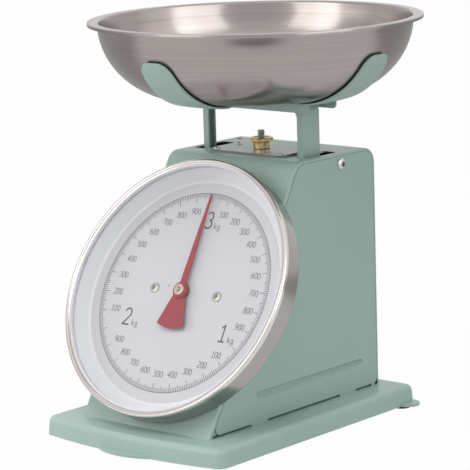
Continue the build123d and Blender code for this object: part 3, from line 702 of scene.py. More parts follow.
def ring_tool(name: str, shape: Blocks) -> NodeTool:
    """Makes a tree that sets small blocks round a circle.

    Args:
        name: The tree's name.
        shape: What the blocks are.

    Returns:
        The finished tool. Its inputs are the count, the radius and the blocks' sizes in metres.
    """
    floats = ("Radius", "Width", "Short", "Middle", "Long", "Thickness")
    tool = NodeTool(name, [("Count", "NodeSocketInt")] + [(label, "NodeSocketFloat") for label in floats])
    given = tool.given
    points = tool.add("GeometryNodePoints", {"Count": given["Count"]})
    index = tool.add("GeometryNodeInputIndex").outputs[0]
    angle = tool.math("MULTIPLY", tool.math("DIVIDE", index, given["Count"]), math.tau)
    spot = tool.vector(
        tool.math("MULTIPLY", tool.math("SINE", angle), given["Radius"]),
        tool.math("MULTIPLY", tool.math("COSINE", angle), given["Radius"]),
    )
    placed = tool.add("GeometryNodeSetPosition", {"Geometry": points.outputs[0], "Position": spot})
    block = tool.add("GeometryNodeMeshCube", {"Size": (1.0, 1.0, 1.0)})
    turn = tool.vector(z=tool.math("MULTIPLY", angle, -1.0))
    shift = tilt = (0.0, 0.0, 0.0)
    if shape is Blocks.TICKS:
        length = given["Short"]
        for step, low, high in ((MIDDLE_TICK_EVERY, "Short", "Middle"), (LONG_TICK_EVERY, "Middle", "Long")):
            more = tool.math("SUBTRACT", given[high], given[low])
            length = tool.math("ADD", length, tool.math("MULTIPLY", tool.is_multiple(index, step), more))
        shift = (0.0, -0.5, 0.0)
        size = tool.vector(given["Width"], length, given["Thickness"])
    else:
        tilt = (0.0, 0.0, math.radians(45))
        size = tool.vector(given["Width"], given["Width"], given["Thickness"])
    values = {"Geometry": block.outputs["Mesh"], "Translation": shift, "Rotation": tilt}
    moved = tool.add("GeometryNodeTransform", values)
    values = {"Points": placed.outputs[0], "Instance": moved.outputs[0], "Rotation": turn, "Scale": size}
    tool.close(tool.add("GeometryNodeInstanceOnPoints", values).outputs[0])
    return tool


def joined(meshes: Sequence[Mesh], name: str) -> Mesh:
    """Joins meshes.

    Args:
        meshes: The meshes, which are removed.
        name: The name of the joined mesh.

    Returns:
        One mesh made of all.
    """
    work = bmesh.new()
    for mesh in meshes:
        work.from_mesh(mesh)
        bpy.data.meshes.remove(mesh)
    return to_mesh(work, name)


@dataclass
class DialFrame:
    """The slanted frame of the dial: X to the right, Y up the slant, Z out of the face."""

    joint: str = "pointer_turn"
    matrix: Matrix = field(default_factory=Matrix)

    def __post_init__(self) -> None:
        """Reads the pointer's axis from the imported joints."""
        turn = next(entry for entry in frame["joints"] if entry["name"] == self.joint)
        out = -Vector(turn["axis"]).normalized()
        across = Vector((1.0, 0.0, 0.0))
        columns = Matrix((across, out.cross(across), out)).transposed()
        self.matrix = Matrix.Translation(turn["pos_m"]) @ columns.to_4x4()

    def at(self, x: float, y: float, out: float) -> Matrix:
        """Returns the dial frame moved to a place on the face, in millimetres."""
        return self.matrix @ Matrix.Translation((x * MM, y * MM, out * MM))

    def span(self, node: str) -> Point:
        """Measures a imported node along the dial's axis.

        Args:
            node: The node's name.

        Returns:
            How far out of the front sheet it begins and ends, in millimetres.
        """
        back = self.matrix.inverted()
        levels = [(back @ vertex.co).z / MM for vertex in frame["nodes"][node].data.vertices]
        return min(levels), max(levels)


@dataclass
class SheetWork:
    """Bent and pressed sheet pieces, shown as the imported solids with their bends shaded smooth."""

    nodes: dict[str, tuple[str, Slot]] = field(
        default_factory=lambda: {
            "base_tray": ("base", Slot.GREEN),
            "housing_wrap": ("base", Slot.GREEN),
            "left_side_panel": ("base", Slot.GREEN),
            "right_side_panel": ("base", Slot.GREEN),
            "top_plate": ("base", Slot.GREEN),
            "load_bridge": ("carriage", Slot.GREEN),
            "bowl_cradle": ("carriage", Slot.GREEN),
            "pointer": ("pointer", Slot.RED),
            "front_foot": ("base", Slot.RUBBER),
            "rear_left_foot": ("base", Slot.RUBBER),
            "rear_right_foot": ("base", Slot.RUBBER),
        }
    )
    bead_levels: Point = (0.025, 0.06)
    bead_depth: float = 0.00003
    # Shares of painted shade in the side panels' bead and on the top plate's edges.
    bead_painted_shade: float = 0.17
    plate_edge_painted_shade: float = 0.5
    outward: float = 0.3
    upright: float = 0.5

    def mark_painted_shade(self, node: str, mesh: Mesh) -> None:
        """Notes the painted shade on a sheet's faces: full on those that face into the housing, less in the bead
        and on the plate's edge.

        Args:
            node: The node that the mesh shows.
            mesh: The mesh that takes the note.
        """
        low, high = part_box("housing_wrap")
        middle = (low + high) / 2
        side = max(abs(edge.x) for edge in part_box(node))
        tones = []
        for face in mesh.polygons:
            # Faces turned into the housing take full painted shade, for its dark inside.
            tone = 1.0 if (middle - face.center).dot(face.normal) > 0.0 else 0.0
            outer = face.normal.x * math.copysign(1.0, face.center.x) > self.outward
            beaded = self.bead_levels[0] < face.center.z < self.bead_levels[1]
            sunk = abs(face.center.x) < side - self.bead_depth
            # The top plate's upright edges take part painted shade, and so do the sunk outer faces of the side
            # panels' bead.
            if node == "top_plate":
                tone = self.plate_edge_painted_shade if abs(face.normal.z) < self.upright else 0.0
            elif node.endswith("side_panel") and outer and beaded and sunk:
                tone = self.bead_painted_shade
            tones.append(tone)
        note_painted_shade(mesh, tones)

    def build(self) -> None:
        """Makes a smooth copy of each node and paints shade on the housing's inside, in its side panels' beads and
        on its top plate's edges.
        """
        for node, (body, slot) in self.nodes.items():
            copy = smooth_copy(node)
            if node in ("housing_wrap", "top_plate") or node.endswith("side_panel"):
                self.mark_painted_shade(node, copy)
            trim = Trim.PLATE if node == "top_plate" else None
            add_piece(copy, f"{node}_skin", body, slot, [node], trim)


@dataclass
class Bowl:
    """The drawn steel bowl with its flat turned-out rim. Sizes in millimetres."""

    wall: float = 0.8
    flat: float = 50.0
    rim_width: float = 6.8
    rim_lip: float = 2.2
    bend: float = 1.6
    wall_steps: int = 44

    def build(self) -> None:
        """Turns the bowl in the place of its solid."""
        low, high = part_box("bowl")
        radius = high.x / MM
        height = (high.z - low.z) / MM
        mouth = radius - self.rim_width
        inner = mouth - self.wall
        profile = [(0.0, self.wall), (self.flat * 0.5, self.wall)]
        under = height - self.wall
        profile += arc((self.flat, height), (inner - self.flat, under), 270, 352, self.wall_steps)
        last = profile[-1]
        profile += arc((inner + self.bend, height - self.bend), (self.bend, self.bend), 170, 90, 5)
        profile = [point for point in profile if point[1] <= height and point != last]
        edge = self.wall * 0.5
        profile += arc((radius - edge, height - edge), (edge, edge), 90, 0, 4)
        profile += [(radius, height - self.rim_lip), (radius - self.wall, height - self.rim_lip)]
        profile += [(radius - self.wall, under), (mouth + self.bend, under)]
        profile += arc((self.flat, under), (mouth - self.flat, under), 358, 270, self.wall_steps)
        profile += [(self.flat * 0.5, 0.0), (0.0, 0.0)]
        shell = lathe(profile, Matrix.Translation((0.0, (low.y + high.y) / 2, low.z)), ROUND_STEPS)
        add_piece(shell, "bowl_shell", "bowl", Slot.BOWL, ["bowl"])


@dataclass
class DialCase:
    """Steel drum, rolled bezel and the white dish under the glass. Sizes in millimetres."""

    dial: DialFrame
    drum_wall: float = 0.6
    drum_edge: float = 1.2
    bezel_inner: float = 86.6
    roll: float = 1.6
    gasket: float = 1.5
    gasket_step: float = 0.9
    gasket_seat: float = 0.3
    gasket_lip: float = 0.6
    cap_edge: float = 0.7
    cap_hole: Point = (1.75, 1.3)
    # Thickness of the dark ink ring that paints the shade in the cap's hole, then the steps round the cap and
    # round that ring.
    cap_shade_film: float = 0.3
    cap_steps: int = 64
    shade_film_steps: int = 32
    spindle: float = 1.25
    dish_radius: float = 80.0
    dish_sheet: float = 0.5
    dish_bend: float = 3.0
    dish_foot: float = 0.4
    dish_flare: Point = (0.6, 2.6)
    card_depth: float = 0.2
    hub_hole: float = 4.05

    def turn(
        self,
        profile: Sequence[Point],
        name: str,
        body: str,
        slot: Slot,
        replaced: Iterable[str] = (),
        trim: Trim | None = None,
        segments: int = ROUND_STEPS,
    ) -> None:
        """Turns a profile round the dial's axis and adds it as a piece."""
        add_piece(lathe(profile, self.dial.matrix, segments), name, body, slot, replaced, trim)

    def build_drum(self) -> None:
        """Turns the drum with a soft rear edge."""
        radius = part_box("dial_drum")[1].x / MM
        mouth = self.dial.span("dial_drum")[1]
        wall, edge = radius - self.drum_wall, self.drum_edge
        profile = [(self.hub_hole, 0.0)]
        profile += arc((radius - edge, edge), (edge, edge), 270, 360, 6)
        profile += [(radius, mouth), (wall, mouth), (wall, self.drum_wall), (self.hub_hole, self.drum_wall)]
        self.turn(profile, "dial_drum_shell", "base", Slot.BRIGHT, ["dial_drum"])

    def build_bezel(self) -> None:
        """Turns the bezel as one bright roll, with the pale gasket of the glass inside it."""
        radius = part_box("dial_bezel")[1].x / MM
        low, high = self.dial.span("dial_bezel")
        roll, inner, step = self.roll, self.bezel_inner, high - self.gasket_step
        edge = inner + self.gasket
        profile = [(edge, low), (radius, low)]
        profile += arc((radius - roll, high - roll), (roll, roll), 0, 160, 14)
        profile += [(edge, step - self.gasket_seat)]
        self.turn(profile, "dial_bezel_ring", "base", Slot.BRIGHT, ["dial_bezel"], Trim.BEZEL)
        lip = self.gasket_lip
        profile = [(inner, low), (edge, low), (edge, step - lip)]
        profile += arc((inner + lip, step - lip), (lip, lip), 60, 180, 6)
        self.turn(profile, "dial_glass_gasket", "base", Slot.BRIGHT, (), Trim.GASKET)

    def build_dish(self) -> None:
        """Turns the dish with a rounded foot to its sloping wall, and the printed card in it."""
        low, lip = self.dial.span("dial_dish")
        face, bend, inner = low + self.dish_sheet, self.dish_bend, self.bezel_inner
        floor, edge = face - self.card_depth, self.dish_radius - bend * 0.5
        under = lip - self.dish_sheet
        near, far = (inner + flare for flare in self.dish_flare)
        profile = [(self.hub_hole, low), (self.dish_radius + self.dish_foot, low)]
        profile += [(near, under), (far, under), (far, lip), (inner, lip)]
        profile += arc((edge, face + bend), (bend, bend), 330, 270, 8)
        profile += [(edge, floor), (self.hub_hole, floor)]
        # The wall takes the paler white, as painted light for the shade it lies in.
        self.turn(profile, "dial_dish_wall", "base", Slot.WHITE, ["dial_dish"])
        profile = [(self.hub_hole, floor), (edge, floor), (edge, face), (self.hub_hole, face)]
        self.turn(profile, "dial_card", "base", Slot.WHITE, (), Trim.CARD)

    def build_cap(self) -> None:
        """Turns the cap on the pointer's hub, with a dark ink ring painted as shade in the hole round the end of
        the spindle.
        """
        low, high = self.dial.span("pointer_cap")
        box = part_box("pointer_cap")
        radius, edge = (box[1].x - box[0].x) / 2 / MM, self.cap_edge
        hole, floor = self.cap_hole[0], high - self.cap_hole[1]
        profile = [(self.spindle, low), (radius, low)]
        profile += arc((radius - edge, high - edge), (edge, edge), 0, 90, 6)
        profile += [(hole, high), (hole, floor), (self.spindle, floor)]
        shown, around = ["pointer_cap"], self.cap_steps
        self.turn(profile, "pointer_cap_turned", "pointer", Slot.BRASS, shown, Trim.CAP, around)
        # A dark ring of ink on the floor of the hole paints the shade round the spindle's end.
        top = floor + self.cap_shade_film
        profile = [(self.spindle, floor), (hole, floor), (hole, top), (self.spindle, top)]
        self.turn(profile, "pointer_cap_painted_shade", "pointer", Slot.BRASS, (), Trim.DARK_INK, self.shade_film_steps)

    def build(self) -> None:
        """Makes the turned pieces."""
        self.build_drum()
        self.build_bezel()
        self.build_dish()
        self.build_cap()


@dataclass(frozen=True)
class StrokeFont:
    """Thin upright numerals and unit letters, drawn as strokes in a box one unit high."""

    width: float = 0.54
    advance: float = 0.66
    curve_steps: int = 16

    def strokes(self, sign: str) -> list[list[Point]]:
        """Returns the strokes of one sign.

        Args:
            sign: A digit, or one of the letters k and g.

        Returns:
            Each stroke as a list of points. A stroke that ends where it begins is closed.
        """
        n = self.curve_steps
        shapes = {
            "0": [arc((0.27, 0.5), (0.25, 0.5), 0, 360, 2 * n)],
            "1": [[(0.1, 0.82), (0.3, 1.0), (0.3, 0.0)], [(0.06, 0.0), (0.52, 0.0)]],
            "2": [arc((0.27, 0.72), (0.24, 0.28), 165, -35, n) + [(0.04, 0.0), (0.53, 0.0)]],
            "3": [
                arc((0.25, 0.75), (0.22, 0.25), 150, -85, n),
                arc((0.25, 0.25), (0.26, 0.26), 85, -150, n),
            ],
            "4": [[(0.4, 0.0), (0.4, 1.0), (0.02, 0.28), (0.55, 0.28)]],
            "5": [[(0.48, 1.0), (0.12, 1.0), (0.08, 0.54)] + arc((0.25, 0.31), (0.26, 0.31), 125, -150, n)],
            "6": [
                arc((0.27, 0.3), (0.24, 0.3), 0, 360, 2 * n),
                arc((0.48, 0.33), (0.45, 0.67), 100, 178, n),
            ],
            "7": [[(0.03, 1.0), (0.52, 1.0), (0.18, 0.0)]],
            "8": [
                arc((0.27, 0.76), (0.2, 0.24), 0, 360, 2 * n),
                arc((0.27, 0.26), (0.25, 0.26), 0, 360, 2 * n),
            ],
            "9": [
                arc((0.27, 0.7), (0.24, 0.3), 0, 360, 2 * n),
                arc((0.06, 0.67), (0.45, 0.67), -2, -80, n),
            ],
            "k": [[(0.06, 0.0), (0.06, 1.05)], [(0.44, 0.62), (0.06, 0.25)], [(0.18, 0.38), (0.46, 0.0)]],
            "g": [
                arc((0.26, 0.33), (0.22, 0.31), 0, 360, 2 * n),
                [(0.48, 0.64), (0.48, -0.05)] + arc((0.26, -0.05), (0.22, 0.24), 0, -150, n),
            ],
        }
        return shapes[sign]

    def word(self, words: str, height: float) -> list[list[Point]]:
        """Writes a word.

        Args:
            words: Its signs.
            height: How high a digit is.

        Returns:
            The strokes of all signs, centred on zero.
        """
        left = -0.5 * (self.advance * (len(words) - 1) + self.width)
        placed = []
        for place, sign in enumerate(words):
            shift = left + place * self.advance
            for line in self.strokes(sign):
                placed.append([((x + shift) * height, (y - 0.5) * height) for x, y in line])
        return placed


def ribbon(work: bmesh.types.BMesh, line: Sequence[Point], width: float, low: float, high: float) -> None:
    """Adds a flat printed stroke to a mesh.

    Args:
        work: The mesh being built.
        line: The stroke's middle line.
        width: How wide the stroke is.
        low: Where its film begins.
        high: Where its film ends.
    """
    closed = math.dist(line[0], line[-1]) < SAME_SPOT
    points = [Vector(point) for point in (line[:-1] if closed else line)]
    count = len(points)
    rails = []
    for k, point in enumerate(points):
        before = points[k - 1] if closed or k else point
        after = points[(k + 1) % count] if closed or k < count - 1 else point
        enter, leave = (point - before), (after - point)
        enter = enter.normalized() if enter.length else leave.normalized()
        leave = leave.normalized() if leave.length else enter
        middle = (enter + leave).normalized()
        side = Vector((-middle.y, middle.x)) * (width * 0.5 / max(MITRE_LIMIT, middle.dot(leave)))
        corners = (point + side, point - side)
        rails.append([work.verts.new((*corner, level)) for level in (low, high) for corner in corners])
    for k in range(count if closed else count - 1):
        a, b = rails[k], rails[(k + 1) % count]
        for one, two in ((0, 1), (1, 3), (3, 2), (2, 0)):
            work.faces.new((a[one], a[two], b[two], b[one]))
    if not closed:
        work.faces.new((rails[0][0], rails[0][2], rails[0][3], rails[0][1]))
        work.faces.new((rails[-1][1], rails[-1][3], rails[-1][2], rails[-1][0]))


@dataclass
class DialPrint:
    """Ring line, tick marks and weights printed on the dial. Sizes in millimetres and degrees."""

    dial: DialFrame
    sheet: float = 0.5
    film: float = 0.04
    line_radius: float = 71.2
    line_width: float = 0.35
    marks: int = 300
    mark_width: float = 0.4
    mark_short: float = 3.2
    mark_middle: float = 4.6
    mark_long: float = 6.4
    number_radius: float = 58.3
    number_height: float = 4.1
    number_stroke: float = 0.42
    number_shift: float = 1.2
    hundreds: int = 30
    kilo_height: float = 11.4
    kilo_stroke: float = 1.0
    kilo_spots: tuple[tuple[str, float, float], ...] = (
        ("3", 3.0, 52.0),
        ("1", 44.5, -24.0),
        ("2", -41.5, -22.5),
    )
    unit_height: float = 4.4
    unit_stroke: float = 0.42
    unit_shift: Point = (7.9, -3.7)
    dot_spot: Point = (-14.0, 3.0)
    dot_radius: float = 0.55
    dot_steps: int = 16
    font: StrokeFont = field(default_factory=StrokeFont)

    def __post_init__(self) -> None:
        """Finds the level of the white face."""
        self.low = self.dial.span("dial_dish")[0] + self.sheet + self.film * 0.5
        self.high = self.low + self.film

    def print_words(self, words: Sequence[PrintedWord], name: str, ink: Trim) -> None:
        """Prints words as one piece.

        Args:
            words: What each says, its height, its stroke's width and its middle on the dial, in millimetres.
            name: The piece's name.
            ink: The ink it is printed with.
        """
        work = bmesh.new()
        for text, height, stroke, x, y in words:
            for line in self.font.word(text, height):
                moved = [((px + x) * MM, (py + y) * MM) for px, py in line]
                ribbon(work, moved, stroke * MM, self.low * MM, self.high * MM)
        mesh = to_mesh(work, name, outward=True)
        mesh.transform(self.dial.matrix)
        add_piece(mesh, name, "base", Slot.WHITE, (), ink)

    def film_ring(self, inner: float, outer: float) -> list[Point]:
        """Returns the profile of a printed ring between two radii."""
        return [(inner, self.low), (outer, self.low), (outer, self.high), (inner, self.high)]

    def print_ring(self) -> None:
        """Prints the tick marks, the ring line and the small dot by the hub."""
        grey = Trim.GREY_INK
        ticks = ring_tool("tick_ring", Blocks.TICKS).mesh(
            {
                "Count": self.marks,
                "Radius": self.line_radius * MM,
                "Width": self.mark_width * MM,
                "Short": self.mark_short * MM,
                "Middle": self.mark_middle * MM,
                "Long": self.mark_long * MM,
                "Thickness": self.film * MM,
                "Material": paint(grey),
            }
        )
        ticks.transform(self.dial.at(0.0, 0.0, (self.low + self.high) / 2))
        add_piece(ticks, "dial_ticks", "base", Slot.WHITE, (), grey)
        outer = self.line_radius
        line = lathe(self.film_ring(outer - self.line_width, outer), self.dial.matrix)
        add_piece(line, "dial_line", "base", Slot.WHITE, (), grey)
        dot = lathe(self.film_ring(0.0, self.dot_radius), self.dial.at(*self.dot_spot, 0.0), self.dot_steps)
        add_piece(dot, "dial_dot", "base", Slot.WHITE, (), grey)

    def build(self) -> None:
        """Prints the dial."""
        self.print_ring()
        numbers = []
        for step in range(1, self.hundreds):
            if step % 10:
                angle = math.tau * step / self.hundreds
                x = self.number_radius * math.sin(angle) + self.number_shift
                y = self.number_radius * math.cos(angle)
                numbers.append((f"{step % 10}00", self.number_height, self.number_stroke, x, y))
        kilos = []
        for digit, x, y in self.kilo_spots:
            kilos.append((digit, self.kilo_height, self.kilo_stroke, x, y))
            right, down = self.unit_shift
            numbers.append(("kg", self.unit_height, self.unit_stroke, x + right, y + down))
        self.print_words(numbers, "dial_numbers", Trim.GREY_INK)
        self.print_words(kilos, "dial_kilograms", Trim.DARK_INK)


@dataclass
class ZeroAdjuster:
    """Knurled brass nut and the threaded stud in it. Sizes in millimetres."""

    sleeve_height: float = 5.2
    sleeve_radius: float = 5.75
    neck: float = 0.6
    neck_levels: Point = (1.0, 0.7)
    dish: Point = (0.5, 0.4)
    bore: float = 2.55
    bore_edge: float = 0.6
    stud: float = 2.5
    ridges: int = 48
    ridge: float = 0.7
    ridge_sunk: float = 0.25
    edge: float = 0.4
    nut_steps: int = 96
    nut_angle: float = 30.0
    pitch: float = 0.8
    thread: float = 0.35
    thread_turns: int = 16
    thread_steps: int = 32
    thread_rows: int = 6
    thread_overlap: float = 0.5
    thread_angle: float = 40.0
    hold: float = 164.0
    hold_collar: Point = (9.5, 1.5)
    hold_plug: float = 7.05
    shank_steps: int = 48

    def build_nut(self) -> None:
        """Turns the nut and sets its knurls round the flange."""
        low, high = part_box("zero_nut")
        sink = self.ridge * self.ridge_sunk
        flange = high.x / MM - sink
        height = (high.z - low.z) / MM
        place = Matrix.Translation((0.0, (low.y + high.y) / 2, low.z))
        sleeve, seat, edge = self.sleeve_radius, self.sleeve_height, self.edge
        neck, sunk = sleeve - self.neck, height - self.dish[1]
        profile = [(self.bore, 0.0), (sleeve - edge, 0.0), (sleeve, edge)]
        profile += [(sleeve, seat - self.neck_levels[0]), (neck, seat - self.neck_levels[1]), (neck, seat)]
        profile += [(flange - edge, seat), (flange, seat + edge), (flange, height - edge)]
        profile += [(flange - edge, height), (sleeve, height), (sleeve - self.dish[0], sunk)]
        profile += [(self.bore + self.bore_edge, sunk), (self.bore, sunk - self.bore_edge)]
        body = lathe(profile, place, self.nut_steps)
        span = height - seat - 2 * edge
        knurls = ring_tool("nut_knurls", Blocks.RIDGES).mesh(
            {
                "Count": self.ridges,
                "Radius": (flange - sink) * MM,
                "Width": self.ridge * MM,
                "Thickness": span * MM,
                "Material": paint(Slot.BRASS),
            }
        )
        knurls.transform(place @ Matrix.Translation((0.0, 0.0, (seat + edge + span / 2) * MM)))
        nut = smooth(joined([body, knurls], "nut"), self.nut_angle)
        add_piece(nut, "zero_nut_turned", "zero_nut", Slot.BRASS, ["zero_nut"])

    def build_stud(self) -> None:
        """Cuts the thread at the top of the stud as one ramp, over the plain lower end."""
        low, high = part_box("zero_stud")
        centre = (low.y + high.y) / 2
        radius = self.stud
        top = high.z / MM
        start = top - self.thread_turns * self.pitch
        steps, rows = self.thread_steps, self.thread_rows
        work = bmesh.new()
        grid = []
        for row in range(self.thread_turns * rows + 1):
            ring = []
            for step in range(steps):
                turn = step / steps
                level = row / rows
                phase = (level - turn) % 1.0
                crest = 1.0 - abs(2.0 * phase - 1.0)
                reach = (radius - self.thread * (1.0 - crest)) * MM
                angle = math.tau * turn
                z = (start + level * self.pitch) * MM
                ring.append(work.verts.new((reach * math.cos(angle), centre + reach * math.sin(angle), z)))
            grid.append(ring)
        for below, above in zip(grid, grid[1:]):
            for step in range(steps):
                nxt = (step + 1) % steps
                work.faces.new((below[step], below[nxt], above[nxt], above[step]))
        work.faces.new(grid[0][::-1])
        work.faces.new(grid[-1])
        thread = to_mesh(work, "thread", outward=True)
        plug_low, plug = low.z / MM, self.hold_plug
        wide, shoulder = self.hold_collar[0], self.hold + self.hold_collar[1]
        shank = [(0.0, plug_low), (plug, plug_low), (plug, self.hold), (wide, self.hold), (wide, shoulder)]
        core, overlap = radius - self.thread, start + self.thread_overlap
        shank += [(core, shoulder), (core, overlap), (0.0, overlap)]
        plain = lathe(shank, Matrix.Translation((0.0, centre, 0.0)), self.shank_steps)
        stud = smooth(joined([plain, thread], "stud"), self.thread_angle)
        add_piece(stud, "zero_stud_threaded", "zero_stud", Slot.ZINC, ["zero_stud"])

    def build(self) -> None:
        """Makes both pieces."""
        self.build_nut()
        self.build_stud()


@dataclass
class PanScrew:
    """A pan-head screw with a cross recess, in its own frame with the head's seat at zero.

    The two radii, the head's height, the shank's reach and the depth from which the recess takes painted shade
    are in millimetres. All other sizes are shares of the head's radius or height.
    """

    head: float
    height: float
    shank: float
    reach: float
    rim: float = 0.35
    slot_length: float = 1.15
    slot_width: float = 0.48
    slot_depth: float = 0.55
    slot_taper: float = 0.6
    # Share of painted shade in the cross recess.
    recess_painted_shade: float = 0.4
    recess: float = 0.65
    recess_depth: float = 0.12
    edge_angle: float = 30.0
    steps: int = 40

    def mesh(self) -> Mesh:
        """Turns the screw and cuts its cross out of the dome.

        Returns:
            The screw, with the faces of its recess noted for painted shade.
        """
        rim = self.height * self.rim
        dome = [(0.0, -self.reach), (self.shank, -self.reach), (self.shank, 0.0), (self.head, 0.0)]
        dome += [(self.head, rim)]
        dome += arc((0.0, rim), (self.head, self.height - rim), 8, 90, 8)[:-1]
        dome += [(0.0, self.height)]
        body = bpy.data.objects.new("screw", lathe(dome, Matrix(), self.steps))
        wide, deep = self.head * self.slot_length, self.height * self.slot_depth
        narrow = self.head * self.slot_width
        cut = bmesh.new()
        for size in ((wide, narrow), (narrow, wide)):
            for vertex in bmesh.ops.create_cube(cut, size=1.0)["verts"]:
                taper = 1.0 if vertex.co.z > 0 else self.slot_taper
                vertex.co.x *= size[0] * taper * MM
                vertex.co.y *= size[1] * taper * MM
                vertex.co.z = (self.height - deep + (vertex.co.z + 0.5) * deep * 2) * MM
        cutter = bpy.data.objects.new("cross", to_mesh(cut, "cross"))
        for item in (body, cutter):
            bpy.context.scene.collection.objects.link(item)
        carve = body.modifiers.new("cross", "BOOLEAN")
        carve.operation = "DIFFERENCE"
        carve.solver = "EXACT"
        carve.use_self = True
        carve.object = cutter
        made = plain_mesh(body)
        bpy.data.objects.remove(cutter)
        # Paints shade into the cross recess through the face note.
        note_painted_shade(made, [self.recess_shade_share(face.center / MM) for face in made.polygons])
        return smooth(made, self.edge_angle)

    def recess_shade_share(self, at: Vector) -> float:
        """Tells how much painted shade a face takes.

        Args:
            at: The middle of the face, in millimetres.

        Returns:
            The full share of painted shade in the recess, else zero.
        """
        share = min(1.0, math.hypot(at.x, at.y) / self.head)
        dome = self.height * (self.rim + (1.0 - self.rim) * math.sqrt(1.0 - share * share))
        sunk = 0.0 < at.z < dome - self.recess_depth
        return self.recess_painted_shade if sunk and share < self.recess else 0.0


@dataclass
class Screws:
    """All the screws that show, each group set on its seats and turned a little differently. Radians."""

    dial: DialFrame
    side: PanScrew = field(default_factory=lambda: PanScrew(4.1, 2.3, 1.9, 6.0))
    side_turn: float = 0.35
    top: PanScrew = field(default_factory=lambda: PanScrew(2.7, 1.3, 1.5, 6.0))
    top_turns: tuple[float, ...] = (0.4, 1.0, 1.6, 2.2)
    face: PanScrew = field(default_factory=lambda: PanScrew(3.5, 1.2, 1.5, 7.5))
    face_turns: Point = (0.6, -0.3)

    def drive(self, screw: PanScrew, node: str, place: Matrix, turn: float, trim: Trim | None = None) -> None:
        """Adds one screw.

        Args:
            screw: What kind it is.
            node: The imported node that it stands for.
            place: The frame of its seat.
            turn: How far its cross is turned.
            trim: A finish other than zinc, or None.
        """
        mesh = screw.mesh()
        mesh.transform(place @ Matrix.Rotation(turn, 4, "Z"))
        add_piece(mesh, f"{node}_cross", "base", Slot.ZINC, [node], trim)

    def build(self) -> None:
        """Makes the side, top and dial screws."""
        for node, sign in (("right_side_screw", 1.0), ("left_side_screw", -1.0)):
            low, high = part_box(node)
            middle = (low + high) / 2
            middle.x = (high.x if sign > 0 else low.x) - sign * self.side.height * MM
            place = Matrix.Translation(middle) @ Matrix.Rotation(sign * math.pi / 2, 4, "Y")
            self.drive(self.side, node, place, self.side_turn)
        for turn, corner in zip(self.top_turns, ("front_left", "front_right", "rear_left", "rear_right")):
            node = f"top_screw_{corner}"
            low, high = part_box(node)
            middle = (low + high) / 2
            middle.z = high.z - self.top.height * MM
            self.drive(self.top, node, Matrix.Translation(middle), turn)
        back = self.dial.matrix.inverted()
        for turn, node in zip(self.face_turns, ("dial_screw_left", "dial_screw_right")):
            low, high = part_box(node)
            spot = back @ ((low + high) / 2)
            seat = self.dial.span(node)[1] - self.face.height
            self.drive(self.face, node, self.dial.at(spot.x / MM, 0.0, seat), turn, Trim.NICKEL)


@dataclass
class InnerWorks:
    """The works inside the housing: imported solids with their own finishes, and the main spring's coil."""

    spring: str = "main_spring"

    def build_spring(self) -> None:
        """Makes the coil as a smooth copy of its node, with its place baked into the mesh and riding on no body.
        """
        coil = add_piece(smooth_copy(self.spring), "main_spring_coil", None, Slot.SPRING, [self.spring])
        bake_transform(coil)
        LOG.info("%s stretches from base to carriage, %d faces", coil.name, len(coil.data.polygons))

    def dress(self) -> None:
        """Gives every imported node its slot's finish."""
        slots = {entry["node"]: entry["material_slot"] for entry in frame["record"]["subparts"]}
        for name, node in frame["nodes"].items():
            material = paint(Slot(slots[name]))
            for index in range(len(node.material_slots)):
                node.material_slots[index].material = material


@dataclass(frozen=True)
class RoomPatch:
    """A darker or paler part of the room that only reflections show.

    Its reach holds the cosines at which it begins and is full, and its level is a share of the room's light.
    """

    towards: Place
    reach: Point
    level: float


@dataclass(frozen=True)
class SoftLamp:
    """A square soft lamp: place and side in metres, power in watts, and whether metal and glass show it."""

    name: str
    place: Place
    side: float
    power: float
    tint: Colour
    mirrored: bool = True


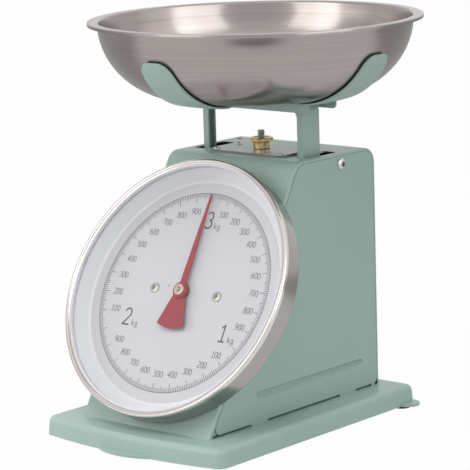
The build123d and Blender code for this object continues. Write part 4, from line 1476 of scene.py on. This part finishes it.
@dataclass
class Studio:
    """White room, soft lamps and the camera at the photograph's angle. Metres."""

    camera_at: Place = (1.102756, -1.293737, 0.449798)
    camera_right: Place = (0.76214171, 0.64671858, -0.02991815)
    camera_up: Place = (-0.09772855, 0.1606072, 0.98216824)
    lens: float = 192.43
    sensor: float = 36.0
    view_end: float = 100.0
    floor_half: float = 30.0
    floor_grey: float = 0.65
    floor_glow: float = 0.97
    mirror_glow: float = 0.85
    towards_camera: Place = (0.651, -0.759, 0.0)
    back_span: Point = (-0.2, 0.02)
    back_levels: Point = (0.42, 0.9)
    spot_ahead: float = 1.05
    spot_span: Point = (0.2, 0.5)
    spot_levels: Point = (0.12, 1.0)
    room_span: Point = (-0.2, 1.0)
    room_levels: Point = (0.35, 0.6)
    sheen: float = 1.0
    patches: tuple[RoomPatch, ...] = (
        RoomPatch((0.64, -0.746, 0.2), (0.8, 0.99), 0.75),
        RoomPatch((-0.64, -0.53, 0.55), (0.88, 0.98), 0.5),
        RoomPatch((-0.92, 0.3, 0.05), (0.55, 0.95), 0.8),
        RoomPatch((0.55, 0.83, 0.05), (0.55, 0.95), 0.8),
        RoomPatch((-0.5, -0.76, 0.42), (0.86, 0.97), 1.55),
        RoomPatch((0.83, 0.38, 0.4), (0.86, 0.97), 1.4),
    )
    aim: Place = (0.0, 0.0, 0.13)
    lamps: tuple[SoftLamp, ...] = (
        SoftLamp("key_lamp", (-1.8, -0.72, 0.75), 0.8, 18.0, (1.0, 0.985, 0.955), False),
        SoftLamp("front_lamp", (-0.37, -1.84, 0.95), 1.33, 7.5, (1.0, 0.99, 0.965)),
        SoftLamp("right_lamp", (1.848, -0.07, 0.95), 1.42, 8.5, (0.94, 0.985, 1.0)),
        SoftLamp("top_lamp", (0.35, -0.9, 2.1), 1.0, 15.0, (1.0, 1.0, 1.0), False),
    )

    def build_camera(self) -> None:
        """Sets the camera."""
        data = bpy.data.cameras.new("photo_camera")
        data.lens = self.lens
        data.sensor_width = self.sensor
        data.clip_end = self.view_end
        camera = bpy.data.objects.new("photo_camera", data)
        right, up = Vector(self.camera_right), Vector(self.camera_up)
        turn = Matrix((right, up, right.cross(up))).transposed()
        camera.matrix_world = Matrix.Translation(self.camera_at) @ turn.to_4x4()
        bpy.context.scene.collection.objects.link(camera)
        bpy.context.scene.camera = camera

    def mirror_level(self, bench: ShaderBench) -> Socket:
        """Works out how bright metal shows the floor.

        Args:
            bench: The node tree of the floor's material.

        Returns:
            A level that is pale before the scale, and darker behind it and at one spot.
        """
        place, towards = bench.coords(), Vector(self.towards_camera)
        ahead = bench.vector_math("DOT_PRODUCT", place, towards)
        gap = bench.vector_math("DISTANCE", place, towards * self.spot_ahead)
        behind = bench.ramp(ahead, self.back_span, self.back_levels)
        return bench.math("MULTIPLY", behind, bench.ramp(gap, self.spot_span, self.spot_levels))

    def build_floor(self) -> None:
        """Lays a pale floor that shows white and keeps a soft shadow."""
        half = self.floor_half
        corners = [(-half, -half, 0), (half, -half, 0), (half, half, 0), (-half, half, 0)]
        mesh = bpy.data.meshes.new("studio_floor")
        mesh.from_pydata(corners, [], [(0, 1, 2, 3)])
        bench = ShaderBench("studio_floor")
        seen, mirrored = bench.mirror_rays()
        level = bench.math("MAXIMUM", self.mirror_level(bench), seen)
        cloth = bench.add("ShaderNodeBsdfDiffuse", {"Color": (*[self.floor_grey] * 3, 1.0)}).outputs[0]
        glow = bench.add("ShaderNodeEmission", {"Color": WHITE_LIGHT, "Strength": level}).outputs[0]
        direct = bench.math("MULTIPLY", seen, self.floor_glow)
        share = bench.math("MAXIMUM", direct, bench.math("MULTIPLY", mirrored, self.mirror_glow))
        mesh.materials.append(bench.finish(bench.mix(share, cloth, glow)))
        floor = bpy.data.objects.new("studio_floor", mesh)
        bpy.context.scene.collection.objects.link(floor)

    def build_world(self) -> None:
        """Sets a pale room: white to the camera, with darker and paler parts for metal and glass to show."""
        world = bpy.data.worlds.new("pale_room")
        bpy.context.scene.world = world
        world.use_nodes = True
        bench = ShaderBench.around(world)
        way = bench.add("ShaderNodeTexCoord").outputs["Generated"]
        height = bench.add("ShaderNodeSeparateXYZ", {"Vector": way}).outputs["Z"]
        room = bench.ramp(height, self.room_span, self.room_levels)
        sheen: Socket | float = self.sheen
        for patch in self.patches:
            facing = bench.vector_math("DOT_PRODUCT", way, Vector(patch.towards).normalized())
            sheen = bench.math("MULTIPLY", bench.ramp(facing, patch.reach, (1.0, patch.level)), sheen)
        seen, mirrored = bench.mirror_rays()
        dim, bright, white = (
            bench.add("ShaderNodeBackground", {"Color": WHITE_LIGHT, "Strength": level}).outputs[0]
            for level in (room, sheen, 1.0)
        )
        outer = bench.mix(seen, bench.mix(mirrored, dim, bright), white)
        bench.tree.links.new(outer, bench.output.inputs["Surface"])

    def hang(self, lamp: SoftLamp) -> None:
        """Hangs one lamp, aimed at the scale.

        Args:
            lamp: What it is like.
        """
        data = bpy.data.lights.new(lamp.name, "AREA")
        data.size = lamp.side
        data.energy = lamp.power
        data.color = lamp.tint
        hung = bpy.data.objects.new(lamp.name, data)
        hung.location = lamp.place
        hung.visible_glossy = lamp.mirrored
        hung.visible_transmission = lamp.mirrored
        hung.rotation_euler = (Vector(self.aim) - Vector(lamp.place)).to_track_quat("-Z", "Y").to_euler()
        bpy.context.scene.collection.objects.link(hung)

    def build(self) -> None:
        """Sets up the room, the lamps and the camera."""
        self.build_world()
        self.build_floor()
        for lamp in self.lamps:
            self.hang(lamp)
        self.build_camera()
        bpy.context.scene.view_settings.view_transform = "Standard"


def main() -> None:
    """Builds every sub-assembly in order."""
    logging.basicConfig(level=logging.INFO, format="%(name)s: %(message)s")
    works = InnerWorks()
    works.dress()
    works.build_spring()
    dial = DialFrame()
    SheetWork().build()
    Bowl().build()
    DialCase(dial).build()
    DialPrint(dial).build()
    ZeroAdjuster().build()
    Screws(dial).build()
    Studio().build()


if __name__ == "__main__":
    main()
